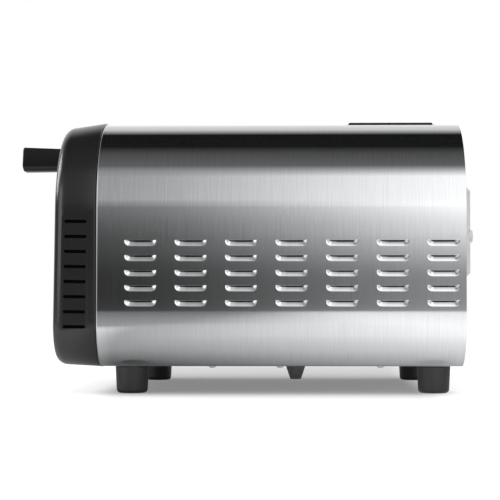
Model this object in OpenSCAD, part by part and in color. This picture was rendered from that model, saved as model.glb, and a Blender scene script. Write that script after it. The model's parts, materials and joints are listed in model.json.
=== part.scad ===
// Countertop electric pizza oven, in millimetres
// +Z is up, the door faces -Y, and the origin is on the table under the middle of the oven

/* [Shell] */
// Width of the steel wrap, side to side
shell_w = 370; // [362:1:400]
// Length of the steel wrap, front to rear
shell_l = 369.3; // [350:0.1:410]
// Height of the steel wrap
shell_h = 253.5; // [250:0.5:270]
// Thickness of the wrap's sheet
shell_t = 1; // [0.6:0.1:1.2]
// Radius of the wrap's upper shoulders
shell_r_top = 93; // [84:1:98]
// Radius of the wrap's lower corners
shell_r_bot = 45; // [38:1:48]
// Width of the flat returns under the base
shell_return = 24; // [22:1:30]

/* [Louvres] */
// Louvres in a row
louvre_cols = 7; // [3:1:7]
// Rows of louvres
louvre_rows = 5; // [2:1:6]
// Length of a louvre along its slit
louvre_w = 33; // [24:0.5:40]
// Height of a louvre below its slit
louvre_h = 6.5; // [5:0.1:8]
// Depth of the pressing at the slit
louvre_depth = 3.6; // [2.5:0.1:4.5]
// From the last louvre to the wrap's rear edge
louvre_end = 6.9; // [6:0.1:20]
// Spacing of the rows
louvre_pitch_z = 15.4; // [12:0.1:18]
// From the wrap's front edge to the first louvre
louvre_start = 27; // [16:0.1:30]
// Top slit's height above the wrap's underside
louvre_top = 128.7; // [110:0.1:150]

/* [Feet] */
// Height of a foot
foot_h = 27.5; // [24:0.5:40]
// Diameter of a foot at the base
foot_d_top = 34.4; // [28:0.1:40]
// Diameter of a foot at the table
foot_d_bot = 32; // [26:0.1:36]
// Rounding of a foot's lower edge
foot_round = 4; // [2:0.5:5]
// From the wrap's side to a foot's centre
foot_side = 51; // [49:1:64]
// From the wrap's front edge to the front feet
foot_front = 30.3; // [28:0.1:60]
// From the wrap's rear edge to the rear feet
foot_rear = 28.4; // [24:0.1:60]

/* [Bezel] */
// Depth of the front moulding
bezel_d = 45.7; // [42:0.1:60]
// How far the moulding stands proud of the wrap
bezel_proud = 2; // [1:0.1:3]
// Wall of the moulding
bezel_wall = 4.5; // [4:0.1:5.5]
// Thickness of the moulding's face
bezel_face = 5; // [4.5:0.1:6]
// Rounding of the moulding's front edge
bezel_round = 12; // [8:0.5:13]
// Drop of the moulding's roof towards the front
bezel_drop = 4.4; // [2:0.1:6]
// Rise of the moulding's underside towards the front
bezel_rise = 2; // [0.5:0.1:4]
// Narrowing of each side towards the front
bezel_taper = 2.5; // [1:0.1:4]
// Backward lean of the front, in degrees
front_lean = 0.8; // [0:0.1:1.5]
// Dark line between the moulding and the wrap
seam_gap = 0.9; // [0.3:0.1:1.2]
// Length of the moulding's spigot inside the wrap
spigot_l = 8; // [6:0.5:12]

/* [Side slots] */
// Slots in each side of the moulding
slot_count = 8; // [4:1:8]
// Length of a slot
slot_l = 22.5; // [14:0.5:24]
// Height of a slot
slot_h = 3.3; // [2.5:0.1:5]
// Spacing of the slots
slot_pitch = 15.06; // [10:0.01:16]
// Height of the lowest slot above the moulding's foot
slot_low = 41.3; // [38:0.1:48]
// From the front to the middle of a slot
slot_mid = 22.4; // [21:0.1:26]

/* [Door] */
// From the wrap's side to the door's edge
door_side = 21; // [19:0.5:24]
// Height of the door's lower edge above the moulding's foot
door_low = 74; // [72:0.5:78]
// From the door's upper edge to the level of the wrap's roof
door_over = 15.5; // [13.5:0.5:19.5]
// Thickness of the door's frame
door_t = 14; // [13:0.5:16]
// Set-back of the door from the moulding's face
door_inset = 0.5; // [0:0.1:1.5]
// Radius of the door's upper corners
door_r_top = 74; // [60:1:80]
// Radius of the door's lower corners
door_r_bot = 5; // [4.5:0.1:5.5]
// Gap round the door
door_gap = 1.8; // [1.5:0.1:2]
// From the door's edge to the window's clear opening
window_side = 39; // [36:0.5:60]
// From the window's clear opening to the door's upper edge
window_over = 48; // [46:1:64]
// Height of the window above the door's lower edge
window_low = 30; // [28:1:34]
// Corner radius of the window
window_r = 18; // [8:1:26]
// Thickness of each pane
glass_t = 4; // [3:0.5:4]
// Hold of the frame on the outer pane
glass_hold = 6; // [4:0.5:8]
// Diameter of a hinge pin
hinge_pin_d = 5; // [4:0.5:5.5]
// Hinge axis above the door's lower edge
hinge_up = 10; // [10:0.5:11]
// Hinge axis behind the moulding's face
hinge_in = 8.5; // [8.3:0.1:8.8]
// Travel of the door from shut to level, in degrees
door_travel = 90; // [80:1:90]

/* [Handle] */
// Reach of the handle in front of the moulding
handle_reach = 63; // [54:0.5:66]
// Width of the handle, side to side
handle_w = 24; // [22:0.5:32]
// Height of the handle at its tip
handle_h = 27; // [25:0.5:28]
// Middle of the handle below the door's top edge
handle_down = 12; // [12:0.5:14]

/* [Controls] */
// From the wrap's side to the end of the control fascia
fascia_side = 35; // [31:0.5:40]
// Height of the control fascia
fascia_h = 49; // [48:0.5:50]
// Height of the fascia above the moulding's foot
fascia_low = 18; // [17:0.5:18.5]
// Thickness of the fascia
fascia_t = 3; // [2.5:0.1:3.5]
// Diameter of a button
button_d = 14; // [10:0.5:16]
// From an end of the fascia or the display to the nearest button
button_end = 24; // [20:0.5:28]
// Travel of a button
button_travel = 1.2; // [0.5:0.1:1.5]
// Width of the display's window
display_w = 84; // [60:1:90]
// Height of the display's window
display_h = 24; // [16:0.5:28]

/* [Oven] */
// From the wrap's side to the oven's inner wall
oven_side = 29; // [27:0.5:31]
// Inner depth of the oven
oven_l = 322; // [312:1:330]
// Oven floor above the moulding's foot
oven_low = 68; // [67:0.5:70]
// From the oven's roof to the level of the wrap's roof
oven_over = 39.5; // [35.5:0.5:43.5]
// Radius of the oven's upper corners
oven_r = 60; // [40:1:66]
// Sheet of the oven
oven_t = 1; // [0.8:0.1:1.2]
// Thickness of the mineral wool
wool_t = 16; // [12:0.5:17]
// Gap between the pizza stone and the oven's walls
stone_gap = 6; // [3:0.5:16]
// Thickness of the pizza stone
stone_t = 14; // [10:0.5:16]
// Height of the stone's rests
rest_h = 14.5; // [14:0.5:17]
// Diameter of a heating tube
tube_d = 6.5; // [6:0.1:7]
// Straight runs of each heating tube
tube_runs = 6; // [4:2:6]
// From the oven's wall to the outer runs
tube_side = 46; // [42:0.5:54]
// Length of the runs between the bends
tube_l = 210; // [160:1:230]

/* [Rear and roof] */
// Depth of the cover behind the wrap
cover_d = 15; // [12:0.5:20]
// From the wrap's side to the cover
cover_side = 95; // [85:1:110]
// Height of the cover
cover_h = 97; // [80:1:105]
// From the cover's middle to the level of the wrap's roof
cover_over = 113; // [109.5:0.5:133]
// Length of the bush behind the cover
gland_l = 13; // [10:0.5:18]
// Diameter of the bush
gland_d = 17; // [15:0.5:22]
// From the wrap's side to the roof vent
vent_side = 105; // [103:1:125]
// Length of the roof vent, front to rear
vent_l = 90; // [70:1:100]
// From the wrap's rear edge to the middle of the vent
vent_back = 68.8; // [62:0.1:90]
// Height of the steel collar
collar_h = 3.2; // [1.5:0.1:4]
// Height of the grille above the collar
grille_h = 1.7; // [1.5:0.1:4]

/* [Hidden] */
$fn = 64;

// Fits shared by the pieces
seat = 0.3;
slide = 0.05;
past = 1;
skin = 0.02;
seal_t = 2.2;

// Levels and stations of the casing
length_all = handle_reach + bezel_d + shell_l + cover_d + gland_l;
y_front = handle_reach - length_all / 2;
y_seam = y_front + bezel_d;
y_rear = y_seam + shell_l;
z_base = foot_h;
z_top = z_base + shell_h;
half_w = shell_w / 2;
flat_x = half_w - shell_r_bot;
foot_x = half_w - foot_side;
vent_w = shell_w - 2 * vent_side;

// Widths that follow the wrap
door_w = shell_w - 2 * door_side;
window_w = door_w - 2 * window_side;
cover_w = shell_w - 2 * cover_side;
fascia_w = shell_w - 2 * fascia_side;
oven_w = shell_w - 2 * oven_side;
stone_d = min(oven_w, oven_l) - 2 * stone_gap;
tube_pitch = (oven_w - 2 * tube_side) / (tube_runs - 1);

// Heights that follow the wrap
door_h = shell_h - door_low - door_over;
window_h = door_h - window_low - window_over;
oven_h = shell_h - oven_low - oven_over;
cover_mid = shell_h - cover_over;

// Inner sheets
panel_t = 1;
base_t = 1.2;
base_z = z_base + shell_t;
base_top = base_z + base_t;
front_panel_y = y_seam + spigot_l;
rear_inset = 1.5;
rear_panel_y = y_rear - rear_inset - panel_t;
rear_lip = 3;

// Door and its back
door_back = door_inset + door_t;
inner_panel_t = 3;
hinge_z = door_low + hinge_up;

// Oven box
oven_front = door_back + inner_panel_t + seal_t + seat;
oven_z = z_base + oven_low;
oven_back = y_front + oven_front + oven_l;
stone_y = y_front + oven_front + oven_l / 2;
flange_rim = 4;
mouth_low = hinge_z + 3 * flange_rim;
mouth_h = oven_low + oven_h - 2 * flange_rim - mouth_low;
mouth_w = oven_w - flange_rim / 2;
mouth_r = oven_r - flange_rim;
flange_w = oven_w + 3 * flange_rim;
flange_low = oven_low - flange_rim / 2;
flange_h = oven_h + 1.5 * flange_rim;
seal_w = 5;

// Screws
screw_d = 4;
screw_play = 0.15;
hole_d = screw_d + 2 * screw_play;
head_d = 7;
head_h = 2.2;

// A turned copy of what is drawn upright: x stays, the drawing's y becomes height
module slab(y0, l) {
  translate([0, y0 + l, 0])
    rotate([90, 0, 0])
      linear_extrude(l) children();
}

// Places the door and the controls on the leaning front
module on_front() {
  translate([0, y_front, z_base])
    rotate([-front_lean, 0, 0]) children();
}

// Outline with round shoulders and round lower corners
module arch(w, z0, z1, r_top, r_bot) {
  union() {
    for (s = [-1, 1]) {
      translate([s * (w / 2 - r_top), z1 - r_top]) circle(r_top);
      translate([s * (w / 2 - r_bot), z0 + r_bot]) circle(r_bot);
    }
    translate([-w / 2, z0 + r_bot]) square([w, z1 - r_top - z0 - r_bot]);
    translate([r_top - w / 2, z0 + r_bot]) square([w - 2 * r_top, z1 - z0 - r_bot]);
    translate([r_bot - w / 2, z0]) square([w - 2 * r_bot, z1 - z0 - r_top]);
  }
}

// Both sides of the oven
module both_sides() {
  children();
  mirror([1, 0, 0]) children();
}

// The wrap

module wrap_outline(grow) {
  arch(shell_w + 2 * grow, z_base - grow, z_top + grow, shell_r_top + grow, shell_r_bot + grow);
}

module capsule(r, c) {
  rotate([90, 0, 0])
    rotate_extrude()
      intersection() {
        union() {
          translate([0, -c]) square([r, 2 * c]);
          for (s = [-1, 1]) translate([0, s * c]) circle(r);
        }
        translate([0, -c - r]) square([r, 2 * (c + r)]);
      }
}

// Spacing of the louvres along a row
louvre_pitch_y = (shell_l - louvre_start - louvre_end - louvre_w) / (louvre_cols - 1);

// Radius and offset of the tool that presses a louvre
press_r = (louvre_h * louvre_h / louvre_depth + louvre_depth) / 2;
press_out = press_r - louvre_depth;
press_c = louvre_w / 2 - louvre_h;

// The lower half of the pressing tool, grown for the outside of the sheet
module pressing(grow) {
  deep = louvre_depth + grow;
  low = louvre_h + 2 * grow;
  long = louvre_w + 4 * grow;
  intersection() {
    translate([press_out, 0, 0]) capsule(press_r + grow, press_c);
    translate([-deep - past, -long / 2, -low]) cube([deep + past + (grow > 0 ? 0 : past), long, low]);
  }
}

module each_louvre() {
  for (i = [0 : louvre_cols - 1], k = [0 : louvre_rows - 1])
    translate([
      half_w,
      y_seam + louvre_start + louvre_w / 2 + i * louvre_pitch_y,
      z_base + louvre_top - k * louvre_pitch_z
    ]) children();
}

module at_feet() {
  for (sx = [-1, 1], y = [y_seam + foot_front, y_rear - foot_rear])
    translate([sx * foot_x, y, 0]) children();
}

base_screw_x = flat_x - shell_return / 2;
base_screw_shares = [0.305, 0.495, 0.776];

module at_base_screws() {
  for (sx = [-1, 1], s = base_screw_shares)
    translate([sx * base_screw_x, y_seam + s * shell_l, z_base]) children();
}

vent_y = y_rear - vent_back;
collar_slope = 7;
vent_lip = 8;

module outer_shell() {
  gap = 2 * (flat_x - shell_return);
  color("silver")
    difference() {
      union() {
        slab(y_seam, shell_l)
          difference() {
            wrap_outline(0);
            wrap_outline(-shell_t);
            translate([-gap / 2, z_base - past]) square([gap, shell_t + 2 * past]);
          }
        both_sides() each_louvre() pressing(shell_t);
      }
      both_sides() each_louvre() pressing(0);
      translate([-vent_w / 2 + vent_lip, vent_y - vent_l / 2 + vent_lip, z_top - shell_t - past])
        cube([vent_w - 2 * vent_lip, vent_l - 2 * vent_lip, shell_t + 2 * past]);
      at_feet() translate([0, 0, z_base - past]) cylinder(d = hole_d, h = shell_t + 2 * past);
      at_base_screws() translate([0, 0, -past]) cylinder(d = hole_d, h = shell_t + 2 * past);
    }
}

module base_plate() {
  y0 = front_panel_y + panel_t;
  color("dimgray")
    difference() {
      translate([-flat_x, y0, base_z]) cube([2 * flat_x, rear_panel_y - rear_lip - y0, base_t]);
      at_feet() translate([0, 0, base_z - past]) cylinder(d = hole_d, h = base_t + 2 * past);
      at_base_screws() cylinder(d = hole_d, h = shell_t + base_t + past);
      translate([0, centre_y, base_z - past])
        cylinder(d = stud_peg_d + 2 * screw_play, h = base_t + 2 * past);
    }
}

// Sheet behind the moulding, open for the oven and the wires, with wings behind the side slots
wire_w = oven_w - 2 * tube_side;
wire_h = 34;
wire_low = 14;
wing_side = 12;
wing_in = 10;
wing_over = 7;

module front_panel() {
  color("lightgray")
    difference() {
      slab(front_panel_y, panel_t)
        difference() {
          wrap_outline(-shell_t - seat);
          arch(oven_w + 2 * (oven_t + seat), oven_z - oven_t - seat, oven_z + oven_h + oven_t + seat,
            oven_r + oven_t + seat, oven_t + seat);
          translate([-wire_w / 2, base_top + wire_low]) square([wire_w, wire_h]);
        }
      at_bezel_bosses() cylinder(d = hole_d, h = 4 * bezel_d, center = true);
    }
  color("lightgray")
    both_sides()
      translate([half_w - wing_side - panel_t, y_front + wing_in, z_base + slot_low - wing_over])
        cube([
          panel_t,
          front_panel_y + skin - y_front - wing_in,
          (slot_count - 1) * slot_pitch + 2 * wing_over
        ]);
}

// Rear of the casing

spacer_edge = 31;
spacer_x = oven_w / 2 - tube_side;
spacer_z = [oven_z + spacer_edge, oven_z + oven_h - spacer_edge];
spacer_d = 10;

module at_spacers() {
  for (sx = [-1, 1], z = spacer_z)
    translate([sx * spacer_x, 0, z]) rotate([-90, 0, 0]) children();
}

cover_z = z_base + cover_mid;
cover_tab = 14;
rear_slot_w = 4;
rear_slot_l = 26;
rear_slot_pitch = 12;
rear_slot_count = 10;
rear_slot_z = cover_z + cover_h / 2 + cover_tab + 1.5 * rear_slot_w;

module rear_panel() {
  color("gainsboro")
    difference() {
      union() {
        slab(rear_panel_y, panel_t) wrap_outline(-shell_t - seat);
        slab(rear_panel_y - rear_lip, rear_lip + panel_t)
          difference() {
            wrap_outline(-shell_t - seat);
            wrap_outline(-shell_t - seat - panel_t);
          }
      }
      translate([0, rear_panel_y - past, 0])
        at_spacers() cylinder(d = hole_d, h = panel_t + 2 * past);
      translate([0, rear_panel_y - past, cover_z])
        rotate([-90, 0, 0]) cylinder(d = gland_d, h = panel_t + 2 * past);
      for (i = [0 : rear_slot_count - 1])
        translate([(i - (rear_slot_count - 1) / 2) * rear_slot_pitch, 0, rear_slot_z])
          slab(rear_panel_y - past, panel_t + 2 * past) upright_slot(rear_slot_w, rear_slot_l);
    }
}

module upright_slot(w, h) {
  translate([-w / 2, 0]) square([w, h - w]);
  for (z = [0, h - w]) translate([0, z]) circle(d = w);
}

module rear_spacers() {
  color("silver")
    translate([0, oven_back + oven_t, 0])
      at_spacers()
        difference() {
          cylinder(d = spacer_d, h = rear_panel_y - oven_back - oven_t);
          translate([0, 0, rear_panel_y - oven_back - oven_t - rear_screw_l])
            cylinder(d = screw_d + 2 * slide, h = rear_screw_l + past);
        }
}

rear_screw_l = 12;

module pan_screw(l) {
  dome = head_d * 0.9;
  cylinder(d = screw_d, h = l);
  intersection() {
    translate([0, 0, -head_h]) cylinder(d = head_d, h = head_h);
    translate([0, 0, dome - head_h]) sphere(dome);
  }
}

module rear_screws() {
  color("gray")
    translate([0, rear_panel_y + panel_t, 0])
      at_spacers() rotate([180, 0, 0]) pan_screw(rear_screw_l);
}

cover_y = y_rear - rear_inset;
cover_wall = 1.2;
cover_slope = 5;
cover_deep = rear_inset + cover_d;
cover_screw_edge = 16;
cover_screw_x = cover_w / 2 - cover_screw_edge;
cover_hole_d = 11;

// Side view of the cover's shell, sloped above and below
module cover_profile(inset) {
  h = cover_h / 2 - inset;
  polygon([
    [0, -h], [cover_deep - cover_slope - inset, -h], [cover_deep - inset, -h + cover_slope],
    [cover_deep - inset, h - cover_slope], [cover_deep - cover_slope - inset, h], [0, h]
  ]);
}

module across(w) {
  rotate([90, 0, 90]) linear_extrude(w, center = true) children();
}

module at_cover_screws() {
  for (sx = [-1, 1], sz = [-1, 1])
    translate([sx * cover_screw_x, cover_y, cover_z + sz * (cover_h / 2 + cover_tab / 2)])
      rotate([-90, 0, 0]) children();
}

module rear_cover() {
  color("lightgray")
    difference() {
      union() {
        translate([0, cover_y, cover_z]) across(cover_w) cover_profile(0);
        translate([-cover_w / 2, cover_y, cover_z - cover_h / 2 - cover_tab])
          cube([cover_w, cover_wall, cover_h + 2 * cover_tab]);
      }
      translate([0, cover_y - skin, cover_z]) across(cover_w - 2 * cover_wall) cover_profile(cover_wall);
      translate([0, cover_y, cover_z])
        rotate([-90, 0, 0]) cylinder(d = cover_hole_d, h = cover_deep + past);
      at_cover_screws() cylinder(d = hole_d, h = 4 * past, center = true);
    }
}

module cover_screws() {
  color("gray")
    at_cover_screws()
      translate([0, 0, cover_wall]) rotate([180, 0, 0]) pan_screw(cover_wall - skin);
}

gland_flange = 3;
gland_flange_d = gland_d + 2 * gland_flange;
gland_flange_t = 3;
gland_bore = 8;
gland_taper = 1.25;
gland_tip_d = gland_d - 2 * gland_taper;

module cord_gland() {
  neck = cover_hole_d / 2 - slide;
  color("black")
    translate([0, y_rear + cover_d, cover_z])
      rotate([-90, 0, 0])
        rotate_extrude()
          polygon([
            [gland_bore / 2, -2 * cover_wall], [neck, -2 * cover_wall], [neck, 0], [gland_flange_d / 2, 0],
            [gland_flange_d / 2, gland_flange_t], [gland_d / 2, gland_flange_t + past],
            [gland_tip_d / 2, gland_l - past], [gland_tip_d / 2 - past, gland_l], [gland_bore / 2, gland_l]
          ]);
}

// Roof vent

module sloped_block(w, l, h, slope) {
  hull() {
    translate([-w / 2 - slope, -l / 2 - slope, 0]) cube([w + 2 * slope, l + 2 * slope, skin]);
    translate([-w / 2, -l / 2, h - skin]) cube([w, l, skin]);
  }
}

collar_wall = 1;

module vent_collar() {
  color("silver")
    translate([0, vent_y, z_top])
      difference() {
        sloped_block(vent_w, vent_l, collar_h, collar_slope);
        translate([0, 0, -skin]) sloped_block(vent_w - 2 * collar_wall, vent_l - 2 * collar_wall,
          collar_h - collar_wall, collar_slope);
        translate([-vent_w / 2 + vent_lip, -vent_l / 2 + vent_lip, -past])
          cube([vent_w - 2 * vent_lip, vent_l - 2 * vent_lip, collar_h + 2 * past]);
      }
}

grille_slots = 9;
grille_slot_w = 5;
grille_rim = 7;
grille_drop = 6;

module vent_grille() {
  inner_w = vent_w - 2 * vent_lip - 2 * seat;
  inner_l = vent_l - 2 * vent_lip - 2 * seat;
  slot_run = inner_l - 2 * grille_rim;
  step = (inner_w - 2 * grille_rim - grille_slot_w) / (grille_slots - 1);
  color("black")
    translate([0, vent_y, z_top])
      difference() {
        union() {
          translate([0, 0, collar_h]) sloped_block(vent_w - 2 * past, vent_l - 2 * past, grille_h, past);
          translate([-inner_w / 2, -inner_l / 2, collar_h - grille_drop])
            cube([inner_w, inner_l, grille_drop + skin]);
        }
        translate([-inner_w / 2 + collar_wall, -inner_l / 2 + collar_wall, collar_h - grille_drop - past])
          cube([inner_w - 2 * collar_wall, inner_l - 2 * collar_wall, grille_drop + past]);
        for (i = [0 : grille_slots - 1])
          translate([(i - (grille_slots - 1) / 2) * step, 0, collar_h - past])
            linear_extrude(grille_h + 2 * past)
              translate([0, -slot_run / 2]) upright_slot(grille_slot_w, slot_run);
      }
}

// Feet and what is under the base

recess_d = 14;
recess_h = 8;

module foot_profile() {
  r_bot = foot_d_bot / 2;
  polygon([
    [0, 0], [r_bot - foot_round, 0],
    for (a = [15 : 15 : 75]) [r_bot - foot_round + foot_round * sin(a), foot_round - foot_round * cos(a)],
    [r_bot, foot_round], [foot_d_top / 2, foot_h], [0, foot_h]
  ]);
}

module foot(sx, y) {
  color("dimgray")
    translate([sx * foot_x, y, 0])
      difference() {
        rotate_extrude() foot_profile();
        translate([0, 0, -past]) cylinder(d = recess_d, h = recess_h + past);
        cylinder(d = screw_d + 2 * slide, h = foot_h + past);
      }
}

foot_screw_end = 5;

module foot_screws() {
  color("gray")
    at_feet() translate([0, 0, recess_h]) pan_screw(base_top - recess_h + foot_screw_end);
}

module base_screws() {
  color("gray")
    at_base_screws() pan_screw(shell_t + base_t + foot_screw_end);
}

// Tapered stud under the middle of the base
stud_d_top = 26;
stud_d_bot = 12;
stud_h = 21;
stud_peg_d = 8;
stud_back = 14;
centre_y = (y_seam + y_rear) / 2 + stud_back;

module centre_stud() {
  stud_top = base_z;
  color("dimgray")
    translate([0, centre_y, 0]) {
      translate([0, 0, stud_top - stud_h]) cylinder(d1 = stud_d_bot, d2 = stud_d_top, h = stud_h);
      cylinder_from(stud_peg_d, stud_top - skin, base_top + past);
    }
}

module cylinder_from(d, z0, z1) {
  translate([0, 0, z0]) cylinder(d = d, h = z1 - z0);
}

// Front moulding

bezel_w = shell_w + 2 * bezel_proud;
bezel_front_w = bezel_w - 2 * bezel_taper;
bezel_front_h = shell_h + bezel_proud - bezel_drop - bezel_rise;
round_steps = 6;

// The moulding's outline where its front rounding starts
module bezel_front(inset) {
  arch(bezel_front_w - 2 * inset, bezel_rise + inset, bezel_rise + bezel_front_h - inset,
    shell_r_top - bezel_taper - inset, shell_r_bot - bezel_taper - inset);
}

module bezel_rear(inset) {
  arch(bezel_w - 2 * inset, z_base + inset, z_top + bezel_proud - inset,
    shell_r_top + bezel_proud - inset, shell_r_bot + bezel_proud - inset);
}

module bezel_outside() {
  hull() {
    slab(y_seam - seam_gap - skin, skin) bezel_rear(0, $fn = 64);
    for (k = [0 : round_steps]) {
      a = 90 * k / round_steps;
      on_front() slab(bezel_round * (1 - sin(a)), skin) bezel_front(bezel_round * (1 - cos(a)), $fn = 64);
    }
  }
}

module bezel_inside() {
  hull() {
    slab(y_seam, skin) bezel_rear(bezel_wall, $fn = 64);
    on_front() slab(bezel_face, skin) bezel_front(bezel_wall + bezel_taper, $fn = 64);
  }
}

module door_outline(grow) {
  arch(door_w + 2 * grow, door_low - grow, door_low + door_h + grow, door_r_top + grow, door_r_bot + grow);
}

fascia_r = 14;
fascia_ledge = 5;

module fascia_outline(grow) {
  arch(fascia_w + 2 * grow, fascia_low - grow, fascia_low + fascia_h + grow,
    fascia_r + grow, fascia_r + grow);
}

boss_d = 9;
boss_side = 14;
boss_places = [
  [half_w - boss_side, slot_low + slot_count * slot_pitch],
  [fascia_w / 2 + boss_d / 2, fascia_low + boss_d]
];
boss_screw_l = 14;

module at_bezel_bosses() {
  for (sx = [-1, 1], p = boss_places)
    translate([sx * p[0], front_panel_y, z_base + p[1]]) rotate([90, 0, 0]) children();
}

module side_slots() {
  for (i = [0 : slot_count - 1])
    on_front()
      translate([half_w - 2 * bezel_wall, slot_mid, slot_low + i * slot_pitch])
        rotate([90, 0, 90])
          linear_extrude(4 * bezel_wall) level_slot(slot_l, slot_h);
}

module level_slot(l, h) {
  square([l - h, h], center = true);
  for (s = [-1, 1]) translate([s * (l - h) / 2, 0]) circle(d = h);
}

module front_bezel() {
  color("#2b2b2d")
    difference() {
      union() {
        difference() {
          bezel_outside();
          bezel_inside();
        }
        slab(y_seam - spigot_l, 2 * spigot_l)
          difference() {
            wrap_outline(-shell_t - seat);
            wrap_outline(-shell_t - seat - bezel_wall / 2);
          }
        at_bezel_bosses() cylinder(d = boss_d, h = front_panel_y - y_front - bezel_face);
      }
      on_front() slab(-past, bezel_face + 2 * past) door_outline(door_gap);
      on_front() slab(-past, fascia_t + past) fascia_outline(seat);
      on_front() slab(-past, bezel_face + 2 * past) fascia_outline(-fascia_ledge);
      both_sides() side_slots();
      at_bezel_bosses() translate([0, 0, -past]) cylinder(d = screw_d + 2 * slide, h = boss_screw_l + past);
    }
}

module bezel_screws() {
  color("gray")
    at_bezel_bosses() translate([0, 0, -panel_t]) pan_screw(panel_t + boss_screw_l - past);
}

// Hinge

bracket_gap = 0.8;
bracket_x = door_w / 2 + door_gap + bracket_gap;
bracket_t = 2;
bracket_up = 30;
bracket_foot = 9;
pin_head_d = 2 * (hinge_in - bezel_face - seat);
stop_r = 7.2;
stop_pin_d = 3.6;
stop_rest = -75;
pin_grip = 14;
arc_play = 0.3;

// Places in the plane of the hinge: along y and z of the leaning front
module on_hinge(x) {
  on_front()
    translate([x, hinge_in, hinge_z])
      rotate([90, 0, 90]) children();
}

// Arc that the stop pin follows, from its place when the door is shut
module stop_track(h) {
  w = stop_pin_d + 2 * arc_play;
  rotate([0, 0, stop_rest])
    rotate_extrude(angle = door_travel)
      translate([stop_r - w / 2, 0]) square([w, h]);
  for (a = [stop_rest, stop_rest + door_travel])
    rotate([0, 0, a]) translate([stop_r, 0, 0]) cylinder(d = w, h = h);
}

module hinge_bracket() {
  deep = stop_r + stop_pin_d + arc_play;
  y0 = bezel_face - hinge_in;
  foot_low = pin_head_d / 2 + past;
  difference() {
    on_hinge(bracket_x) {
      translate([y0, -deep, 0]) cube([deep - y0, bracket_up + deep, bracket_t]);
      translate([y0, foot_low, 0]) cube([bracket_t, bracket_up - foot_low, bracket_foot]);
    }
    on_hinge(bracket_x - past) cylinder(d = hinge_pin_d + 2 * slide, h = bracket_t + 2 * past);
    on_hinge(bracket_x - past) stop_track(bracket_t + 2 * past);
  }
}

module hinge_brackets() {
  color("silver") both_sides() hinge_bracket();
}

module hinge_pins() {
  x0 = door_w / 2 - pin_grip;
  color("gray")
    both_sides() {
      on_hinge(x0) cylinder(d = hinge_pin_d, h = bracket_x + bracket_t - x0 + skin);
      on_hinge(bracket_x + bracket_t) cylinder(d = pin_head_d, h = bracket_t);
    }
}

// Door

gasket_t = 1.5;
rebate = door_inset + door_t - 2 * glass_t - gasket_t;
pane_step = 5;
edge_break = 3;
front_break = 4;

module window_outline(grow) {
  arch(window_w + 2 * grow, door_low + window_low - grow, door_low + window_low + window_h + grow,
    window_r + grow, window_r + grow);
}

// The frame's blank, cut back along both lower edges so that it can swing past the moulding and the oven
module door_blank() {
  difference() {
    on_front() slab(door_inset, door_t) door_outline(0);
    on_front()
      translate([0, door_back, door_low])
        across(door_w + 2 * past)
          polygon([[-edge_break - past, -past], [past, -past], [past, edge_break + past]]);
    on_front()
      translate([0, door_inset, door_low])
        across(door_w + 2 * past)
          polygon([[front_break + past, -past], [-past, -past], [-past, front_break + past]]);
  }
}

module at_stop_pins(x) {
  on_hinge(x)
    rotate([0, 0, stop_rest]) translate([stop_r, 0, 0]) children();
}

handle_x = 6;
handle_z = door_low + door_h - handle_down;
handle_screw_l = 16;
handle_screw_down = 4;
head_bore = 9;

module at_handle_screws() {
  for (s = [-1, 1])
    on_front()
      translate([s * handle_x, door_back, handle_z - handle_screw_down]) rotate([90, 0, 0]) children();
}

door_screw_out = 10;
door_screw_x = window_w / 2 + glass_hold + pane_step + door_screw_out;
door_screw_z = [window_low + door_screw_out, window_low + window_h - door_screw_out / 2];
door_screw_l = 8;

module at_door_screws() {
  for (s = [-1, 1], z = door_screw_z)
    on_front()
      translate([s * door_screw_x, door_back + inner_panel_t, door_low + z]) rotate([90, 0, 0]) children();
}

module door_frame() {
  color("#1d1d1f")
    difference() {
      door_blank();
      on_front() slab(-past, rebate + 2 * past) window_outline(0);
      on_front() slab(rebate, glass_t + gasket_t + past) window_outline(glass_hold + seat);
      on_front() slab(rebate + glass_t + gasket_t, glass_t + past)
        window_outline(glass_hold + pane_step + seat);
      both_sides() on_hinge(door_w / 2 - pin_grip - seat)
        cylinder(d = hinge_pin_d + 2 * slide, h = pin_grip + past + seat);
      both_sides() at_stop_pins(door_w / 2 - pin_grip)
        cylinder(d = stop_pin_d + 2 * slide, h = pin_grip + past);
      at_handle_screws() translate([0, 0, -past]) cylinder(d = hole_d, h = door_t + 2 * past);
      at_door_screws() cylinder(d = screw_d + 2 * slide, h = inner_panel_t + door_screw_l);
    }
}

module window_outer() {
  color([0.1, 0.1, 0.11, 0.5]) on_front() slab(rebate, glass_t) window_outline(glass_hold);
}

module window_gasket() {
  color("#303030")
    on_front() slab(rebate + glass_t, gasket_t)
      difference() {
        window_outline(glass_hold);
        window_outline(0);
      }
}

module window_inner() {
  color([0.7, 0.75, 0.75, 0.4])
    on_front() slab(rebate + glass_t + gasket_t, glass_t) window_outline(glass_hold + pane_step);
}

panel_inset = 3.5;

module door_inner_panel() {
  color("silver")
    difference() {
      on_front() slab(door_back, inner_panel_t)
        arch(door_w - 2 * panel_inset, hinge_z + bracket_t, door_low + door_h - 2 * panel_inset,
          door_r_top - 2 * panel_inset, door_r_bot);
      on_front() slab(door_back - past, inner_panel_t + 2 * past) window_outline(-edge_break);
      at_door_screws() sunk_screw(inner_panel_t + door_screw_l, slide);
      at_handle_screws() cylinder(d = head_bore, h = 4 * inner_panel_t, center = true);
    }
}

// Countersunk screw, with its head flush at 0 and grown for its hole
module sunk_screw(l, grow) {
  cylinder(d = screw_d + 2 * grow, h = l);
  cylinder(d1 = 2 * screw_d + 2 * grow, d2 = screw_d + 2 * grow, h = screw_d / 2);
}

module door_screws() {
  color("gray") at_door_screws() sunk_screw(inner_panel_t + door_screw_l - seat, 0);
}

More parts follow.
